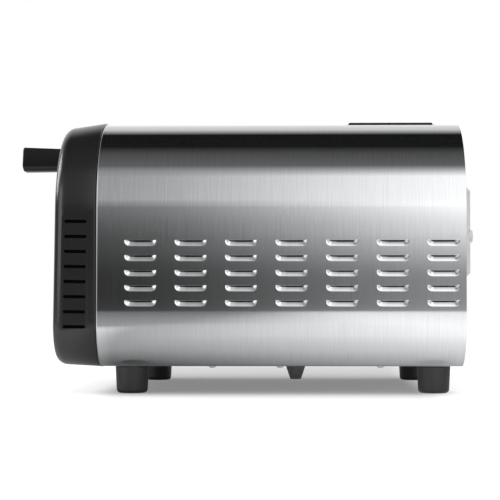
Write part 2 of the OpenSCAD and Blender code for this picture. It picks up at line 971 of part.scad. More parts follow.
module stop_pins() {
  color("gray")
    both_sides() at_stop_pins(door_w / 2 - pin_grip)
      cylinder(d = stop_pin_d, h = bracket_x + bracket_t + past - door_w / 2 + pin_grip);
}

// Handle: one moulded pull that flares towards its crowned tip

handle_crown = 60;
handle_tip = handle_crown
  + (handle_reach + handle_z * sin(front_lean) - handle_crown) / cos(front_lean);
handle_root = handle_tip + door_inset;
handle_flare = 1.6;
handle_r_top = 3;
handle_r_bot = 6;

// Side view of the handle, from the door's face at 0 out to its crowned tip
module handle_profile() {
  h = handle_h / 2;
  intersection() {
    polygon([[0, -h + handle_flare], [handle_root, -h], [handle_root, h], [0, h - handle_flare]]);
    translate([handle_root - handle_crown, 0]) circle(handle_crown, $fn = 128);
  }
}

module handle_grip() {
  color("#1a1a1a")
    difference() {
      intersection() {
        on_front()
          translate([0, door_inset, handle_z])
            mirror([0, 1, 0]) across(handle_w + 2 * past) handle_profile();
        on_front()
          slab(door_inset - handle_root - past, handle_root + 2 * past)
            arch(handle_w, handle_z - handle_h / 2, handle_z + handle_h / 2, handle_r_top, handle_r_bot);
      }
      at_handle_screws() cylinder(d = screw_d + 2 * slide, h = door_t + handle_screw_l);
    }
}

module handle_screws() {
  color("gray") at_handle_screws() pan_screw(door_t + handle_screw_l - past);
}

// Controls

board_y = 18;
board_t = 1.6;
control_z = fascia_low + fascia_h / 2;
post_d = 6;
post_side = 12;
post_x = fascia_w / 2 - post_side;
post_edge = 10;
button_flange = 2;
button_rim = 2;
button_proud = 0.8;
button_edge = 0.6;
button_first = display_w / 2 + button_end;
button_pitch = (fascia_w / 2 - button_end - button_first) / 2;
button_x = [for (s = [-1, 1], i = [0 : 2]) s * (button_first + i * button_pitch)];

// Faces outwards from the fascia: z runs out of the front
module on_fascia(x, y, z) {
  on_front() translate([x, y, z]) rotate([90, 0, 0]) children();
}

module control_fascia() {
  color("#151517")
    difference() {
      union() {
        on_front() slab(0, fascia_t) fascia_outline(0);
        for (s = [-1, 1], z = [fascia_low + post_edge, fascia_low + fascia_h - post_edge])
          on_fascia(s * post_x, board_y, z) cylinder(d = post_d, h = board_y - fascia_t + skin);
      }
      for (x = button_x)
        on_fascia(x, fascia_t + past, control_z)
          cylinder(d = button_d + 2 * seat, h = fascia_t + 2 * past);
      on_front() slab(-past, fascia_t + 2 * past) display_outline(-display_hold);
      on_front() slab(-past, display_t + past) display_outline(seat);
    }
}

display_t = 1.5;
display_hold = 2;
display_r = 2;

module display_outline(grow) {
  arch(display_w + 2 * grow, control_z - display_h / 2 - grow, control_z + display_h / 2 + grow,
    display_r + max(grow, 0), display_r + max(grow, 0));
}

module display_window() {
  color("#0c0c10") on_front() slab(0, display_t) display_outline(0);
}

module display_module() {
  color("#202428")
    on_front() slab(fascia_t + seat, board_y - fascia_t - seat) display_outline(-1.5 * display_hold);
}

board_over = 5;

module control_board() {
  color("darkgreen")
    on_front() slab(board_y, board_t)
      translate([-post_x - post_d, fascia_low + past])
        square([2 * (post_x + post_d), oven_low - fascia_low - board_over]);
}

switch_w = 6;
button_in = fascia_t + button_flange;

module button_switches() {
  color("dimgray")
    for (x = button_x)
      on_fascia(x, board_y, control_z) {
        translate([-switch_w / 2, -switch_w / 2, 0]) cube([switch_w, switch_w, switch_w / 2]);
        cylinder(d = switch_w / 2, h = board_y - button_in - button_travel - seat);
      }
}

// A round cap with a rim behind the fascia
module button(i) {
  r = button_d / 2;
  h = button_in + button_proud;
  color("#3a3a3c")
    on_fascia(button_x[i], button_in, control_z)
      rotate_extrude()
        polygon([
          [0, 0], [r + button_rim, 0], [r + button_rim, button_flange - seat], [r, button_flange - seat],
          [r, h - button_edge], [r - button_edge, h], [0, h]
        ]);
}

// Oven

module oven_section(grow) {
  arch(oven_w + 2 * grow, oven_z - grow, oven_z + oven_h + grow, oven_r + grow, oven_t + grow);
}

module front_of_oven() {
  reach = shell_w;
  on_front() translate([-reach, oven_front - 2 * reach, -reach]) cube([2 * reach, 2 * reach, 3 * reach]);
}

tube_ends = [-(tube_runs - 1) / 2 * tube_pitch, (tube_runs - 1) / 2 * tube_pitch];
tube_drop = 11;
tube_low_z = oven_z + rest_h / 2;
tube_high_z = oven_z + oven_h - tube_drop;
probe_d = 4;
probe_x = tube_pitch;
probe_z = tube_high_z;

module at_tube_ends(y) {
  for (x = tube_ends, z = [tube_low_z, tube_high_z])
    translate([x, y, z]) rotate([-90, 0, 0]) children();
}

module oven_liner() {
  color("darkgray")
    difference() {
      union() {
        difference() {
          slab(y_front, oven_back + oven_t - y_front) oven_section(oven_t);
          slab(y_front - past, oven_back + past - y_front) oven_section(0);
          front_of_oven();
        }
        difference() {
          on_front() slab(oven_front, oven_t)
            arch(flange_w, flange_low, flange_low + flange_h, oven_r + flange_rim, oven_r / 10);
          on_front() slab(oven_front - past, oven_t + 2 * past) mouth_outline(0);
        }
      }
      at_tube_ends(oven_back - past) cylinder(d = tube_d + 2 * seat, h = oven_t + 2 * past);
      translate([probe_x, oven_back - past, probe_z])
        rotate([-90, 0, 0]) cylinder(d = probe_d + 2 * seat, h = oven_t + 2 * past);
    }
}

module mouth_outline(grow) {
  arch(mouth_w + 2 * grow, mouth_low - grow, mouth_low + mouth_h + grow,
    mouth_r + grow, mouth_r / 10 + grow);
}

module mouth_seal() {
  color("dimgray")
    on_front() slab(oven_front - seal_t, seal_t)
      difference() {
        mouth_outline(past / 2 + seal_w);
        mouth_outline(past / 2);
      }
}

wool_y = front_panel_y + panel_t + head_h + seat;

module insulation_wrap() {
  color("khaki")
    slab(wool_y, oven_back + oven_t - wool_y)
      difference() {
        oven_section(oven_t + wool_t);
        oven_section(oven_t);
        translate([-shell_w / 2, oven_z - oven_t - 2 * wool_t]) square([shell_w, 2 * wool_t]);
      }
}

module insulation_floor() {
  color("khaki")
    slab(wool_y, oven_back + oven_t - wool_y)
      translate([-oven_w / 2, oven_z - oven_t - wool_t]) square([oven_w, wool_t]);
}

module insulation_rear() {
  color("khaki")
    difference() {
      slab(oven_back + oven_t, wool_t) oven_section(oven_t);
      at_tube_ends(oven_back) cylinder(d = heater_bush_d + 2 * seat, h = wool_t + 2 * past);
      translate([0, oven_back, 0]) at_spacers() cylinder(d = spacer_d + 2 * seat, h = wool_t + 2 * past);
      translate([probe_x, oven_back, probe_z])
        rotate([-90, 0, 0]) cylinder(d = probe_flange_d + 2 * seat, h = wool_t + 2 * past);
      translate([0, oven_back, cutout_z])
        rotate([-90, 0, 0]) cylinder(d = cutout_hole_d, h = wool_t + 2 * past);
    }
}

heater_bush_d = 12;
heater_bush_l = 10;
terminal_d = 3;
terminal_l = 12;
tube_out = 14;
tube_back = stone_y + tube_l / 2;

module tube_along(x, y0, y1, z, d) {
  translate([x, y0, z]) rotate([-90, 0, 0]) cylinder(d = d, h = y1 - y0);
}

// One tube bent to and fro, with both ends through the oven's back
module heater(z) {
  y0 = stone_y - tube_l / 2;
  far = oven_back + tube_out;
  color("#6b6460")
    union() {
      for (i = [0 : tube_runs - 1]) {
        x = (i - (tube_runs - 1) / 2) * tube_pitch;
        outer = i == 0 || i == tube_runs - 1;
        tube_along(x, y0, outer ? far : tube_back, z, tube_d);
        if (outer) tube_along(x, far - skin, far + terminal_l, z, terminal_d);
      }
      for (i = [0 : tube_runs - 2])
        translate([(i + 1 - tube_runs / 2) * tube_pitch, i % 2 == 0 ? y0 : tube_back, z])
          rotate([0, 0, i % 2 == 0 ? 180 : 0])
            rotate_extrude(angle = 180) translate([tube_pitch / 2, 0]) circle(d = tube_d);
    }
}

module heater_bushes() {
  color("white")
    at_tube_ends(oven_back + oven_t)
      difference() {
        cylinder(d = heater_bush_d, h = heater_bush_l);
        translate([0, 0, -past]) cylinder(d = tube_d + 2 * slide, h = heater_bush_l + 2 * past);
      }
}

clip_w = 8;
clip_t = 1.5;

// Straps that hold the tubes to the oven's ceiling and floor
module heater_clip(x, y, z, seat_z) {
  low = min(z - tube_d / 2 - clip_t, seat_z);
  high = max(z + tube_d / 2 + clip_t, seat_z);
  wide = tube_d + 2 * clip_t;
  translate([x, y, 0])
    difference() {
      translate([-wide / 2, -clip_w / 2, low]) cube([wide, clip_w, high - low]);
      tube_along(0, -clip_w, clip_w, z, tube_d + 2 * slide);
    }
}

module heater_clips() {
  color("silver")
    for (s = [-1, 1], y = [stone_y - tube_l / 4, stone_y + tube_l / 4]) {
      heater_clip(s * (tube_ends[1] - tube_pitch), y, tube_high_z, oven_z + oven_h);
      heater_clip(s * tube_ends[1], y, tube_low_z, oven_z);
    }
}

rest_w = 24;
rest_l = 16;
rest_t = 1.5;
rest_in = 18;
rest_r = stone_d / 2 - rest_in;

// Bent bridges that carry the stone above the lower tube's outer runs
module stone_rests() {
  y = sqrt(rest_r * rest_r - tube_ends[1] * tube_ends[1]);
  color("silver")
    for (x = tube_ends, s = [-1, 1])
      translate([x, stone_y + s * y, oven_z])
        difference() {
          translate([-rest_w / 2, -rest_l / 2, 0]) cube([rest_w, rest_l, rest_h]);
          translate([-rest_w / 2 + rest_t, -rest_l, -past])
            cube([rest_w - 2 * rest_t, 2 * rest_l, rest_h - rest_t + past]);
        }
}

stone_edge = 2;

module pizza_stone() {
  r = stone_d / 2;
  color("tan")
    translate([0, stone_y, oven_z + rest_h])
      rotate_extrude($fn = 128)
        polygon([
          [0, 0], [r - stone_edge, 0], [r, stone_edge], [r, stone_t - stone_edge],
          [r - stone_edge, stone_t], [0, stone_t]
        ]);
}

probe_gap = 2.75;
probe_tip = tube_back + tube_pitch / 2 + tube_d / 2 + probe_gap;
probe_out = 30;
probe_flange_d = 14;
probe_flange_t = 2;

module temperature_probe() {
  color("silver") {
    tube_along(probe_x, probe_tip, oven_back + probe_out, probe_z, probe_d);
    tube_along(probe_x, oven_back + oven_t, oven_back + oven_t + probe_flange_t, probe_z, probe_flange_d);
  }
}

cutout_d = 17;
cutout_h = 9;
cutout_hole_d = 24;
cutout_z = oven_z + oven_h / 2;
cutout_tab = 5;

module thermal_cutout() {
  y0 = oven_back + oven_t;
  color("#282828") {
    tube_along(0, y0, y0 + cutout_h, cutout_z, cutout_d);
    for (s = [-1, 1])
      translate([s * cutout_tab - past / 2, y0 + cutout_h - skin, cutout_z - cutout_tab / 2])
        cube([past, cutout_tab + skin, cutout_tab]);
  }
}

// Mains parts on the base

power_w = 110;
power_l = 76;
power_back = 145.5;
power_y = y_rear - power_back;
standoff_h = 8;
standoff_d = 6;
relay = [16, 20, 16];
transformer = [34, 40, 28];

module power_board() {
  z = base_top + standoff_h;
  color("darkgreen") {
    translate([-power_w / 2, power_y, z]) cube([power_w, power_l, board_t]);
    for (sx = [-1, 1], sy = [0, 1])
      translate([
        sx * (power_w / 2 - standoff_d),
        power_y + standoff_d + sy * (power_l - 2 * standoff_d),
        base_top
      ]) cylinder(d = standoff_d, h = standoff_h + skin);
    translate([-power_w / 2 + standoff_d, power_y + 2 * standoff_d, z + board_t - skin]) cube(transformer);
    for (i = [0, 1])
      translate([i * 1.5 * relay[0], power_y + 2 * standoff_d, z + board_t - skin]) cube(relay);
  }
}

block_w = 48;
block_l = 18;
block_h = 17;
block_gap = 16;
block_y = power_y + power_l + block_gap;
block_bore = 5;
block_ways = 3;

module terminal_block() {
  color("white")
    difference() {
      translate([-block_w / 2, block_y, base_top]) cube([block_w, block_l, block_h]);
      for (i = [0 : block_ways - 1])
        translate([
          (i - (block_ways - 1) / 2) * block_w / block_ways,
          block_y - past,
          base_top + block_h / 2
        ])
          rotate([-90, 0, 0]) cylinder(d = block_bore, h = block_l + 2 * past);
    }
}

outer_shell();
base_plate();
front_panel();
rear_panel();
rear_cover();
cord_gland();
front_bezel();
vent_collar();
vent_grille();
foot(-1, y_seam + foot_front);  // foot_front_left
foot(1, y_seam + foot_front);  // foot_front_right
foot(-1, y_rear - foot_rear);  // foot_rear_left
foot(1, y_rear - foot_rear);  // foot_rear_right
foot_screws();
base_screws();
rear_screws();
cover_screws();
bezel_screws();
centre_stud();
rear_spacers();
oven_liner();
mouth_seal();
insulation_wrap();
insulation_floor();
insulation_rear();
heater(tube_high_z);  // upper_heater
heater(tube_low_z);  // lower_heater
heater_clips();
heater_bushes();
stone_rests();
pizza_stone();
temperature_probe();
thermal_cutout();
hinge_brackets();
hinge_pins();
control_fascia();
display_window();
display_module();
control_board();
button_switches();
power_board();
terminal_block();
door_frame();
window_outer();
window_gasket();
window_inner();
door_inner_panel();
door_screws();
handle_grip();
handle_screws();
stop_pins();
button(2);  // button_power
button(1);  // button_program
button(0);  // button_light
button(3);  // button_less
button(4);  // button_more
button(5);  // button_start
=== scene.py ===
"""Looks of a countertop pizza oven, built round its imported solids."""

import json
import math

import bmesh
import bpy
from bpy.props import FloatProperty, FloatVectorProperty, IntProperty, PointerProperty
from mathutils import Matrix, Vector


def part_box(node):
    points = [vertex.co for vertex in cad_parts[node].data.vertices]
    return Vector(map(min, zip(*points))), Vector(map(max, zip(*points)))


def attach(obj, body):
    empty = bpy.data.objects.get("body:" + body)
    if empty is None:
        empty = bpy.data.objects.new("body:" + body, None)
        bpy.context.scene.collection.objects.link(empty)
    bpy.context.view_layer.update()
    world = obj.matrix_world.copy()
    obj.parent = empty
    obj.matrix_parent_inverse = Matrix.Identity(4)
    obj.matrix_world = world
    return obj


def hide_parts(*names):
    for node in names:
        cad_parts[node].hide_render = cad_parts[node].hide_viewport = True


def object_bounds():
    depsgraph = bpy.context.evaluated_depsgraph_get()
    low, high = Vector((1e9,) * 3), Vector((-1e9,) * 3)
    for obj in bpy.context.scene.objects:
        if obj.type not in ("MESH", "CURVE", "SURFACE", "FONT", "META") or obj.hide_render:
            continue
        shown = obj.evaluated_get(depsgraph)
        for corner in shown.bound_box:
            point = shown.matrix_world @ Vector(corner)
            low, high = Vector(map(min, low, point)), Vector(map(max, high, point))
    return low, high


bl_info = {
    "name": "Countertop pizza oven",
    "version": (1, 0, 0),
    "blender": (4, 5, 0),
    "location": "3D View > Sidebar > Pizza oven",
    "description": "Dresses the packed solids of a countertop pizza oven",
    "category": "Object",
}

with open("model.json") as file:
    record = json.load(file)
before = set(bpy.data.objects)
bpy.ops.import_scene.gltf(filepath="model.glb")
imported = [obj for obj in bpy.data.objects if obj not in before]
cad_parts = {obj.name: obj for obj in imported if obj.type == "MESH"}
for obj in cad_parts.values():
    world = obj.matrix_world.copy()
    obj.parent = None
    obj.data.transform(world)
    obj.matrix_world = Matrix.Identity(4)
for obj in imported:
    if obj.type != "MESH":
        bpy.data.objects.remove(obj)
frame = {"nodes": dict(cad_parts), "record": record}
bpy.context.view_layer.update()
NODES = frame["nodes"]
SLOT_OF = {part["node"]: part["material_slot"] for part in frame["record"]["subparts"]}
BODY_OF = {
    node: body
    for body, nodes in frame["record"]["behaviour"]["bodies"].items()
    for node in nodes
}
BUTTONS = [node for node in NODES if BODY_OF[node] == node + "_cap"]
CAD_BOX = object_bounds()
WRAP_LOW, WRAP_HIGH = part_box("outer_shell")
FRONT_LOW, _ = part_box("front_bezel")
VENT_LOW, VENT_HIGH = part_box("vent_collar")


# Settings


def length(name, description, default):
    """A size in metres"""
    return FloatProperty(name=name, description=description, default=default, unit="LENGTH")


def tint(name, description, default):
    """A colour"""
    return FloatVectorProperty(
        name=name, description=description, default=default, subtype="COLOR", size=3
    )


class WrapSettings(bpy.types.PropertyGroup):
    """Sizes and colour of the louvred steel wrap"""

    shoulder: length("Shoulder", "Radius of the upper shoulders", 0.093)
    corner: length("Corner", "Radius of the lower corners", 0.045)
    returns: length("Returns", "Width of the flat returns below", 0.024)
    sheet: length("Sheet", "Thickness of the steel", 0.001)
    columns: IntProperty(name="Columns", description="Louvres in a row", default=7)
    rows: IntProperty(name="Rows", description="Rows of louvres", default=5)
    louvre_length: length("Louvre length", "Length of a slit", 0.0322)
    louvre_height: length("Louvre height", "Height below the slit", 0.0055)
    louvre_depth: length("Louvre depth", "Depth at the slit", 0.0024)
    pitch_along: length("Pitch along", "Spacing along a row", 0.0504)
    pitch_up: length("Pitch up", "Spacing of the rows", 0.0151)
    first_along: length("First along", "From the front edge to the first louvre", 0.028)
    top_slit: length("Top slit", "Top slit above the wrap's underside", 0.1275)
    edge_roll: length("Edge roll", "Inward roll of the front edge", 0.0005)
    louvre_curve: FloatProperty(
        name="Louvre curve",
        description="Power of a pressing's ramp, 1 for a straight one",
        default=1.24,
    )
    slit_roll: length("Slit roll", "Inward roll of a slit's upper edge", 0.0005)
    colour: tint("Steel", "Colour of the steel", (0.6, 0.612, 0.622))


class MouldingSettings(bpy.types.PropertyGroup):
    """Sizes and colour of the front moulding"""

    proud: length("Proud", "Stands proud of the wrap", 0.002)
    wall: length("Wall", "Wall thickness", 0.0045)
    face: length("Face", "Face thickness", 0.005)
    rounding: length("Rounding", "Rounding of the front edge", 0.012)
    rounding_in: length("Rounding in", "Width of the front edge's rounding", 0.0096)
    drop: length("Drop", "Drop of the roof", 0.0044)
    rise: length("Rise", "Rise of the underside", 0.002)
    taper: length("Taper", "Narrowing of a side", 0.0025)
    lean: FloatProperty(
        name="Lean",
        description="Backward lean of the front",
        default=math.radians(0.8),
        subtype="ANGLE",
    )
    seam: length("Seam", "Gap to the wrap", 0.0009)
    lip: length("Lip", "Rounding of the rear edge", 0.0009)
    slots: IntProperty(name="Slots", description="Slots in each side", default=8)
    slot_length: length("Slot length", "Length of a slot", 0.0225)
    slot_height: length("Slot height", "Height of a slot", 0.0033)
    slot_pitch: length("Slot pitch", "Spacing of the slots", 0.01506)
    slot_low: length("Lowest slot", "Lowest slot above the moulding's foot", 0.0413)
    slot_mid: length("Slot middle", "From the front to a slot's middle", 0.0224)
    recess: length("Recess", "Depth of the panel round the slots", 0.0005)
    colour: tint("Plastic", "Colour of the moulding", (0.01, 0.01, 0.0103))


class DoorSettings(bpy.types.PropertyGroup):
    """Sizes of the openings in the front moulding"""

    side: length("Door side", "From the wrap's side to the door", 0.021)
    low: length("Door low", "Door above the moulding's foot", 0.074)
    height: length("Door height", "Height of the door", 0.164)
    gap: length("Gap", "Gap round the door", 0.0018)
    r_top: length("Upper corners", "Radius of the door's upper corners", 0.074)
    r_low: length("Lower corners", "Radius of the door's lower corners", 0.005)
    fascia_side: length("Fascia side", "From the wrap's side to the fascia", 0.035)
    fascia_low: length("Fascia low", "Fascia above the moulding's foot", 0.018)
    fascia_height: length("Fascia height", "Height of the fascia", 0.049)
    fascia_corner: length("Fascia corner", "Corner radius of the fascia", 0.014)
    fascia_gap: length("Fascia gap", "Gap round the fascia", 0.0003)


class HandleSettings(bpy.types.PropertyGroup):
    """Sizes and colour of the pull handle"""

    width: length("Width", "Width, side to side", 0.024)
    height: length("Height", "Height at the tip", 0.027)
    middle: length("Middle", "Middle above the moulding's foot", 0.226)
    inset: length("Inset", "Set-back of the door's face", 0.0005)
    flare: length("Flare", "Growth of each side towards the tip", 0.0016)
    crown: length("Crown", "Radius of the tip", 0.06)
    r_top: length("Upper edges", "Radius of the upper edges", 0.0032)
    r_low: length("Lower edges", "Radius of the lower edges", 0.0064)
    r_tip: length("Tip edge", "Rounding of the tip's rim", 0.0014)
    colour: tint("Plastic", "Colour of the handle", (0.006, 0.006, 0.006))


class ControlSettings(bpy.types.PropertyGroup):
    """Marks and digits of the controls"""

    mark: length("Mark", "Half size of a button's mark", 0.003)
    stroke: length("Stroke", "Thickness of a mark's lines", 0.0007)
    print_depth: length("Print", "Thickness of the printed marks", 0.00012)
    reading: IntProperty(name="Reading", description="Number on the display", default=250)
    digit: length("Digit", "Height of a digit", 0.0125)
    glow: tint("Glow", "Colour of the digits", (1, 0.55, 0.2))


class StageSettings(bpy.types.PropertyGroup):
    """Camera, floor and light"""

    distance: length("Distance", "Camera to the near wall", 1.42)
    along: length("Along", "Camera's place along the oven", 0.0587)
    height: length("Height", "Camera's height", 0.08765)
    lens: FloatProperty(name="Lens", description="Focal length in millimetres", default=102.6)
    aim: FloatVectorProperty(
        name="Aim",
        description="Slope of the camera's aim, along and up",
        default=(-0.0172, 0.0201),
        size=2,
    )
    shift: FloatVectorProperty(
        name="Shift",
        description="Shift of the lens, in widths of the picture",
        default=(-0.05, 0.058),
        size=2,
    )
    floor: tint("Floor", "Colour of the floor", (0.86, 0.86, 0.86))


# Node helpers


def new_material(name):
    """A node material and its shader"""
    material = bpy.data.materials.new(name)
    material.use_nodes = True
    return material, material.node_tree, material.node_tree.nodes["Principled BSDF"]


def feed(tree, node, inputs):
    """Sets a node's inputs, or links other sockets to them"""
    for key, value in inputs.items():
        if isinstance(value, bpy.types.NodeSocket):
            tree.links.new(value, node.inputs[key])
        else:
            node.inputs[key].default_value = value


def add(tree, kind, inputs=None, **settings):
    """A node with its settings, and its inputs set or linked"""
    node = tree.nodes.new(kind)
    for key, value in settings.items():
        setattr(node, key, value)
    feed(tree, node, inputs or {})
    return node


def ramp(tree, value, stops):
    """A colour ramp from (place, grey) stops"""
    node = add(tree, "ShaderNodeValToRGB", {"Fac": value})
    items = node.color_ramp.elements
    while len(items) < len(stops):
        items.new(0.5)
    for item, (place, grey) in zip(items, stops):
        item.position = place
        item.color = (grey, grey, grey, 1)
    return node.outputs["Color"]


def maths(tree, operation, *values):
    """A value worked out from numbers and sockets"""
    node = add(tree, "ShaderNodeMath", dict(enumerate(values)), operation=operation)
    return node.outputs["Value"]


def vectors(tree, operation, *values):
    """A vector worked out from vectors and sockets"""
    node = add(tree, "ShaderNodeVectorMath", dict(enumerate(values)), operation=operation)
    return node.outputs["Vector"]


def mapped(tree, value, start, end, low=0, high=1, kind="LINEAR"):
    """A value mapped from start to end on to low to high"""
    ends = {"From Min": start, "From Max": end, "To Min": low, "To Max": high}
    node = add(tree, "ShaderNodeMapRange", {"Value": value, **ends}, interpolation_type=kind)
    return node.outputs["Result"]


def new_group(name, inputs, outputs):
    """An empty shader group with its sockets"""
    tree = bpy.data.node_groups.new(name, "ShaderNodeTree")
    for key, kind, value in inputs:
        socket = tree.interface.new_socket(key, in_out="INPUT", socket_type=kind)
        socket.default_value = value
    for key, kind in outputs:
        tree.interface.new_socket(key, in_out="OUTPUT", socket_type=kind)
    return tree, add(tree, "NodeGroupInput"), add(tree, "NodeGroupOutput")


def place_group(tree, group, inputs):
    """Outputs of a shader group placed in a material"""
    return add(tree, "ShaderNodeGroup", inputs, node_tree=group).outputs


def grain_group():
    """Lines of a brushed or rolled sheet, finer across the grain than along it"""
    name = "Sheet grain"
    if name in bpy.data.node_groups:
        return bpy.data.node_groups[name]
    tree, give, take = new_group(
        name,
        [("Lines", "NodeSocketVector", (40, 1500, 40)), ("Contrast", "NodeSocketFloat", 1.0)],
        [("Tone", "NodeSocketFloat")],
    )
    place = add(tree, "ShaderNodeTexCoord").outputs["Object"]
    fine = vectors(tree, "MULTIPLY", place, give.outputs["Lines"])
    lines = add(
        tree,
        "ShaderNodeTexNoise",
        {"Vector": fine, "Scale": 1.0, "Detail": 4.0, "Roughness": 0.65},
    )
    tone = mapped(tree, lines.outputs["Fac"], 0.3, 0.7, -0.5, 0.5)
    strong = maths(tree, "MULTIPLY", tone, give.outputs["Contrast"])
    feed(tree, take, {"Tone": maths(tree, "ADD", strong, 0.5)})
    return tree


def skin_group():
    """Fine spark-eroded skin of a moulded surface, with slow drifts of tone"""
    name = "Moulded skin"
    if name in bpy.data.node_groups:
        return bpy.data.node_groups[name]
    tree, give, take = new_group(
        name,
        [("Size", "NodeSocketFloat", 1600.0), ("Drift", "NodeSocketFloat", 18.0)],
        [("Height", "NodeSocketFloat"), ("Tone", "NodeSocketFloat")],
    )
    place = add(tree, "ShaderNodeTexCoord").outputs["Object"]
    pits = add(
        tree,
        "ShaderNodeTexNoise",
        {"Vector": place, "Scale": give.outputs["Size"], "Detail": 2.0, "Roughness": 0.6},
    )
    drift = add(
        tree, "ShaderNodeTexNoise", {"Vector": place, "Scale": give.outputs["Drift"], "Detail": 3.0}
    )
    feed(tree, take, {"Height": pits.outputs["Fac"], "Tone": drift.outputs["Fac"]})
    return tree


def tinted(tree, factor, colour, low, high):
    """A colour made darker and lighter by a mask"""
    node = add(tree, "ShaderNodeMix", {0: factor}, data_type="RGBA")
    # Inputs 6 and 7 and output 2 are the node's colours
    for socket, share in ((6, low), (7, high)):
        node.inputs[socket].default_value = (*[c * share for c in colour], 1)
    return node.outputs[2]


def bumped(tree, height, distance, strength):
    """A normal from a height"""
    inputs = {"Height": height, "Distance": distance, "Strength": strength}
    return add(tree, "ShaderNodeBump", inputs).outputs["Normal"]


# Finishes

# Shares of a colour and of a roughness at a mask's ends, distance and strength of a bump, and the
# turn of the highlights across the grain
SHEET_TONES, SHEET_ROUGH, SHEET_BUMP = (0.86, 1.1), (0.85, 1.2), (0.00002, 0.25)
SKIN_ROUGH, SKIN_BUMP = (0.92, 1.1), 0.35
GRAIN_TURN = 0.25


def brushed_sheet(name, colour, roughness, lines, contrast, anisotropy=0.0, axis=None):
    """Bright sheet metal with lines per metre along x, y and z"""
    material, tree, shader = new_material(name)
    tone = place_group(tree, grain_group(), {"Lines": lines, "Contrast": contrast})["Tone"]
    low, high = (roughness * share for share in SHEET_ROUGH)
    inputs = {
        "Base Color": tinted(tree, tone, colour, *SHEET_TONES),
        "Roughness": mapped(tree, tone, 0, 1, low, high),
        "Metallic": 1.0,
        "Anisotropic": anisotropy,
        "Normal": bumped(tree, tone, *SHEET_BUMP),
    }
    if axis:
        turn = add(tree, "ShaderNodeTangent", direction_type="RADIAL", axis=axis)
        inputs |= {"Anisotropic Rotation": GRAIN_TURN, "Tangent": turn.outputs["Tangent"]}
    feed(tree, shader, inputs)
    return material


def moulded_plastic(
    name, colour, roughness, size=1600, depth=0.00006, drift=18, spread=0.13, shine=0.5
):
    """Moulded plastic, or another even stuff, with pits of a size per metre and a depth"""
    material, tree, shader = new_material(name)
    skin = place_group(tree, skin_group(), {"Size": size, "Drift": drift})
    low, high = (roughness * share for share in SKIN_ROUGH)
    inputs = {
        "Base Color": tinted(tree, skin["Tone"], colour, 1 - spread, 1 + spread),
        "Roughness": mapped(tree, skin["Tone"], 0, 1, low, high),
        "Specular IOR Level": shine,
        "Normal": bumped(tree, skin["Height"], depth, SKIN_BUMP),
    }
    feed(tree, shader, inputs)
    return material


def glass_pane(name, colour):
    """Window glass"""
    material, tree, shader = new_material(name)
    values = {"Roughness": 0.02, "Transmission Weight": 1.0, "IOR": 1.5}
    feed(tree, shader, {"Base Color": (*colour, 1), **values})
    return material


# Mesh helpers

# Distance within which places are one, and angles of a flat edge and of an edge to be rounded
NEAR = 1e-6
FLAT, SHARP = math.radians(0.4), math.radians(30)


def linked(name, bm):
    """An object in the scene with the mesh of a bmesh"""
    mesh = bpy.data.meshes.new(name)
    bm.to_mesh(mesh)
    bm.free()
    made = bpy.data.objects.new(name, mesh)
    bpy.context.scene.collection.objects.link(made)
    return made


def sharpened(piece, angle):
    """Marks a piece's edges above an angle in degrees as sharp"""
    piece.data.set_sharp_from_angle(angle=math.radians(angle))


def finished(name, bm, body, material, replaced=(), crease=40):
    """Makes a finished piece from a bmesh, with edges above crease in degrees sharp"""
    for face in bm.faces:
        face.smooth = True
    piece = linked(name, bm)
    sharpened(piece, crease)
    piece.data.materials.append(material)
    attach(piece, body)
    if replaced:
        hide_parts(*replaced)
    return piece


def face_outwards(bm):
    """Turns every face of a closed bmesh outwards"""
    bmesh.ops.recalc_face_normals(bm, faces=bm.faces[:])


def paint(material, node):
    """Gives a CAD node a finish"""
    slots = NODES[node].data.materials
    for i in range(len(slots)):
        slots[i] = material


def arch(width, low, high, r_top, r_low, n_top=28, n_low=16):
    """Outline with round shoulders, from the right lower corner anticlockwise"""
    corners = (
        (1, low + r_low, r_low, n_low, -90),
        (1, high - r_top, r_top, n_top, 0),
        (-1, high - r_top, r_top, n_top, 90),
        (-1, low + r_low, r_low, n_low, 180),
    )
    points = []
    for side, z, radius, steps, start in corners:
        x = side * (width / 2 - radius)
        for k in range(steps + 1):
            turn = math.radians(start + 90 * k / steps)
            points.append((x + radius * math.cos(turn), z + radius * math.sin(turn)))
    return points


def turns(steps):
    """Angles of a quarter turn in equal steps"""
    return [math.pi / 2 * k / steps for k in range(steps + 1)]


def ring(bm, points):
    """A closed ring of edges through points"""
    made = bmesh.ops.create_circle(bm, cap_ends=False, radius=1, segments=len(points))
    for vert, point in zip(made["verts"], points):
        vert.co = point
    return made["verts"]


def ring_edges(verts):
    """The edges that join a ring's vertices in turn"""
    found = []
    for a, b in zip(verts, verts[1:] + verts[:1]):
        found.append(next(e for e in a.link_edges if e.other_vert(a) is b))
    return found


def loft(bm, rings):
    """Skins a row of rings that have the same number of points"""
    verts = ring(bm, rings[0])
    rows = [verts]
    for points in rings[1:]:
        made = bmesh.ops.extrude_edge_only(bm, edges=ring_edges(verts))
        fresh = {g for g in made["geom"] if isinstance(g, bmesh.types.BMVert)}
        verts = [
            next(e.other_vert(v) for e in v.link_edges if e.other_vert(v) in fresh) for v in verts
        ]
        for vert, point in zip(verts, points):
            vert.co = point
        rows.append(verts)
    return rows


def fill(bm, *loops):
    """Fills a flat face between an outer ring and holes"""
    edges = [edge for loop in loops for edge in ring_edges(loop)]
    bmesh.ops.triangle_fill(bm, use_beauty=True, use_dissolve=False, edges=edges)


def closed_loft(bm, rings):
    """Skins a row of rings and fills both ends"""
    rows = loft(bm, rings)
    fill(bm, rows[0])
    fill(bm, rows[-1])


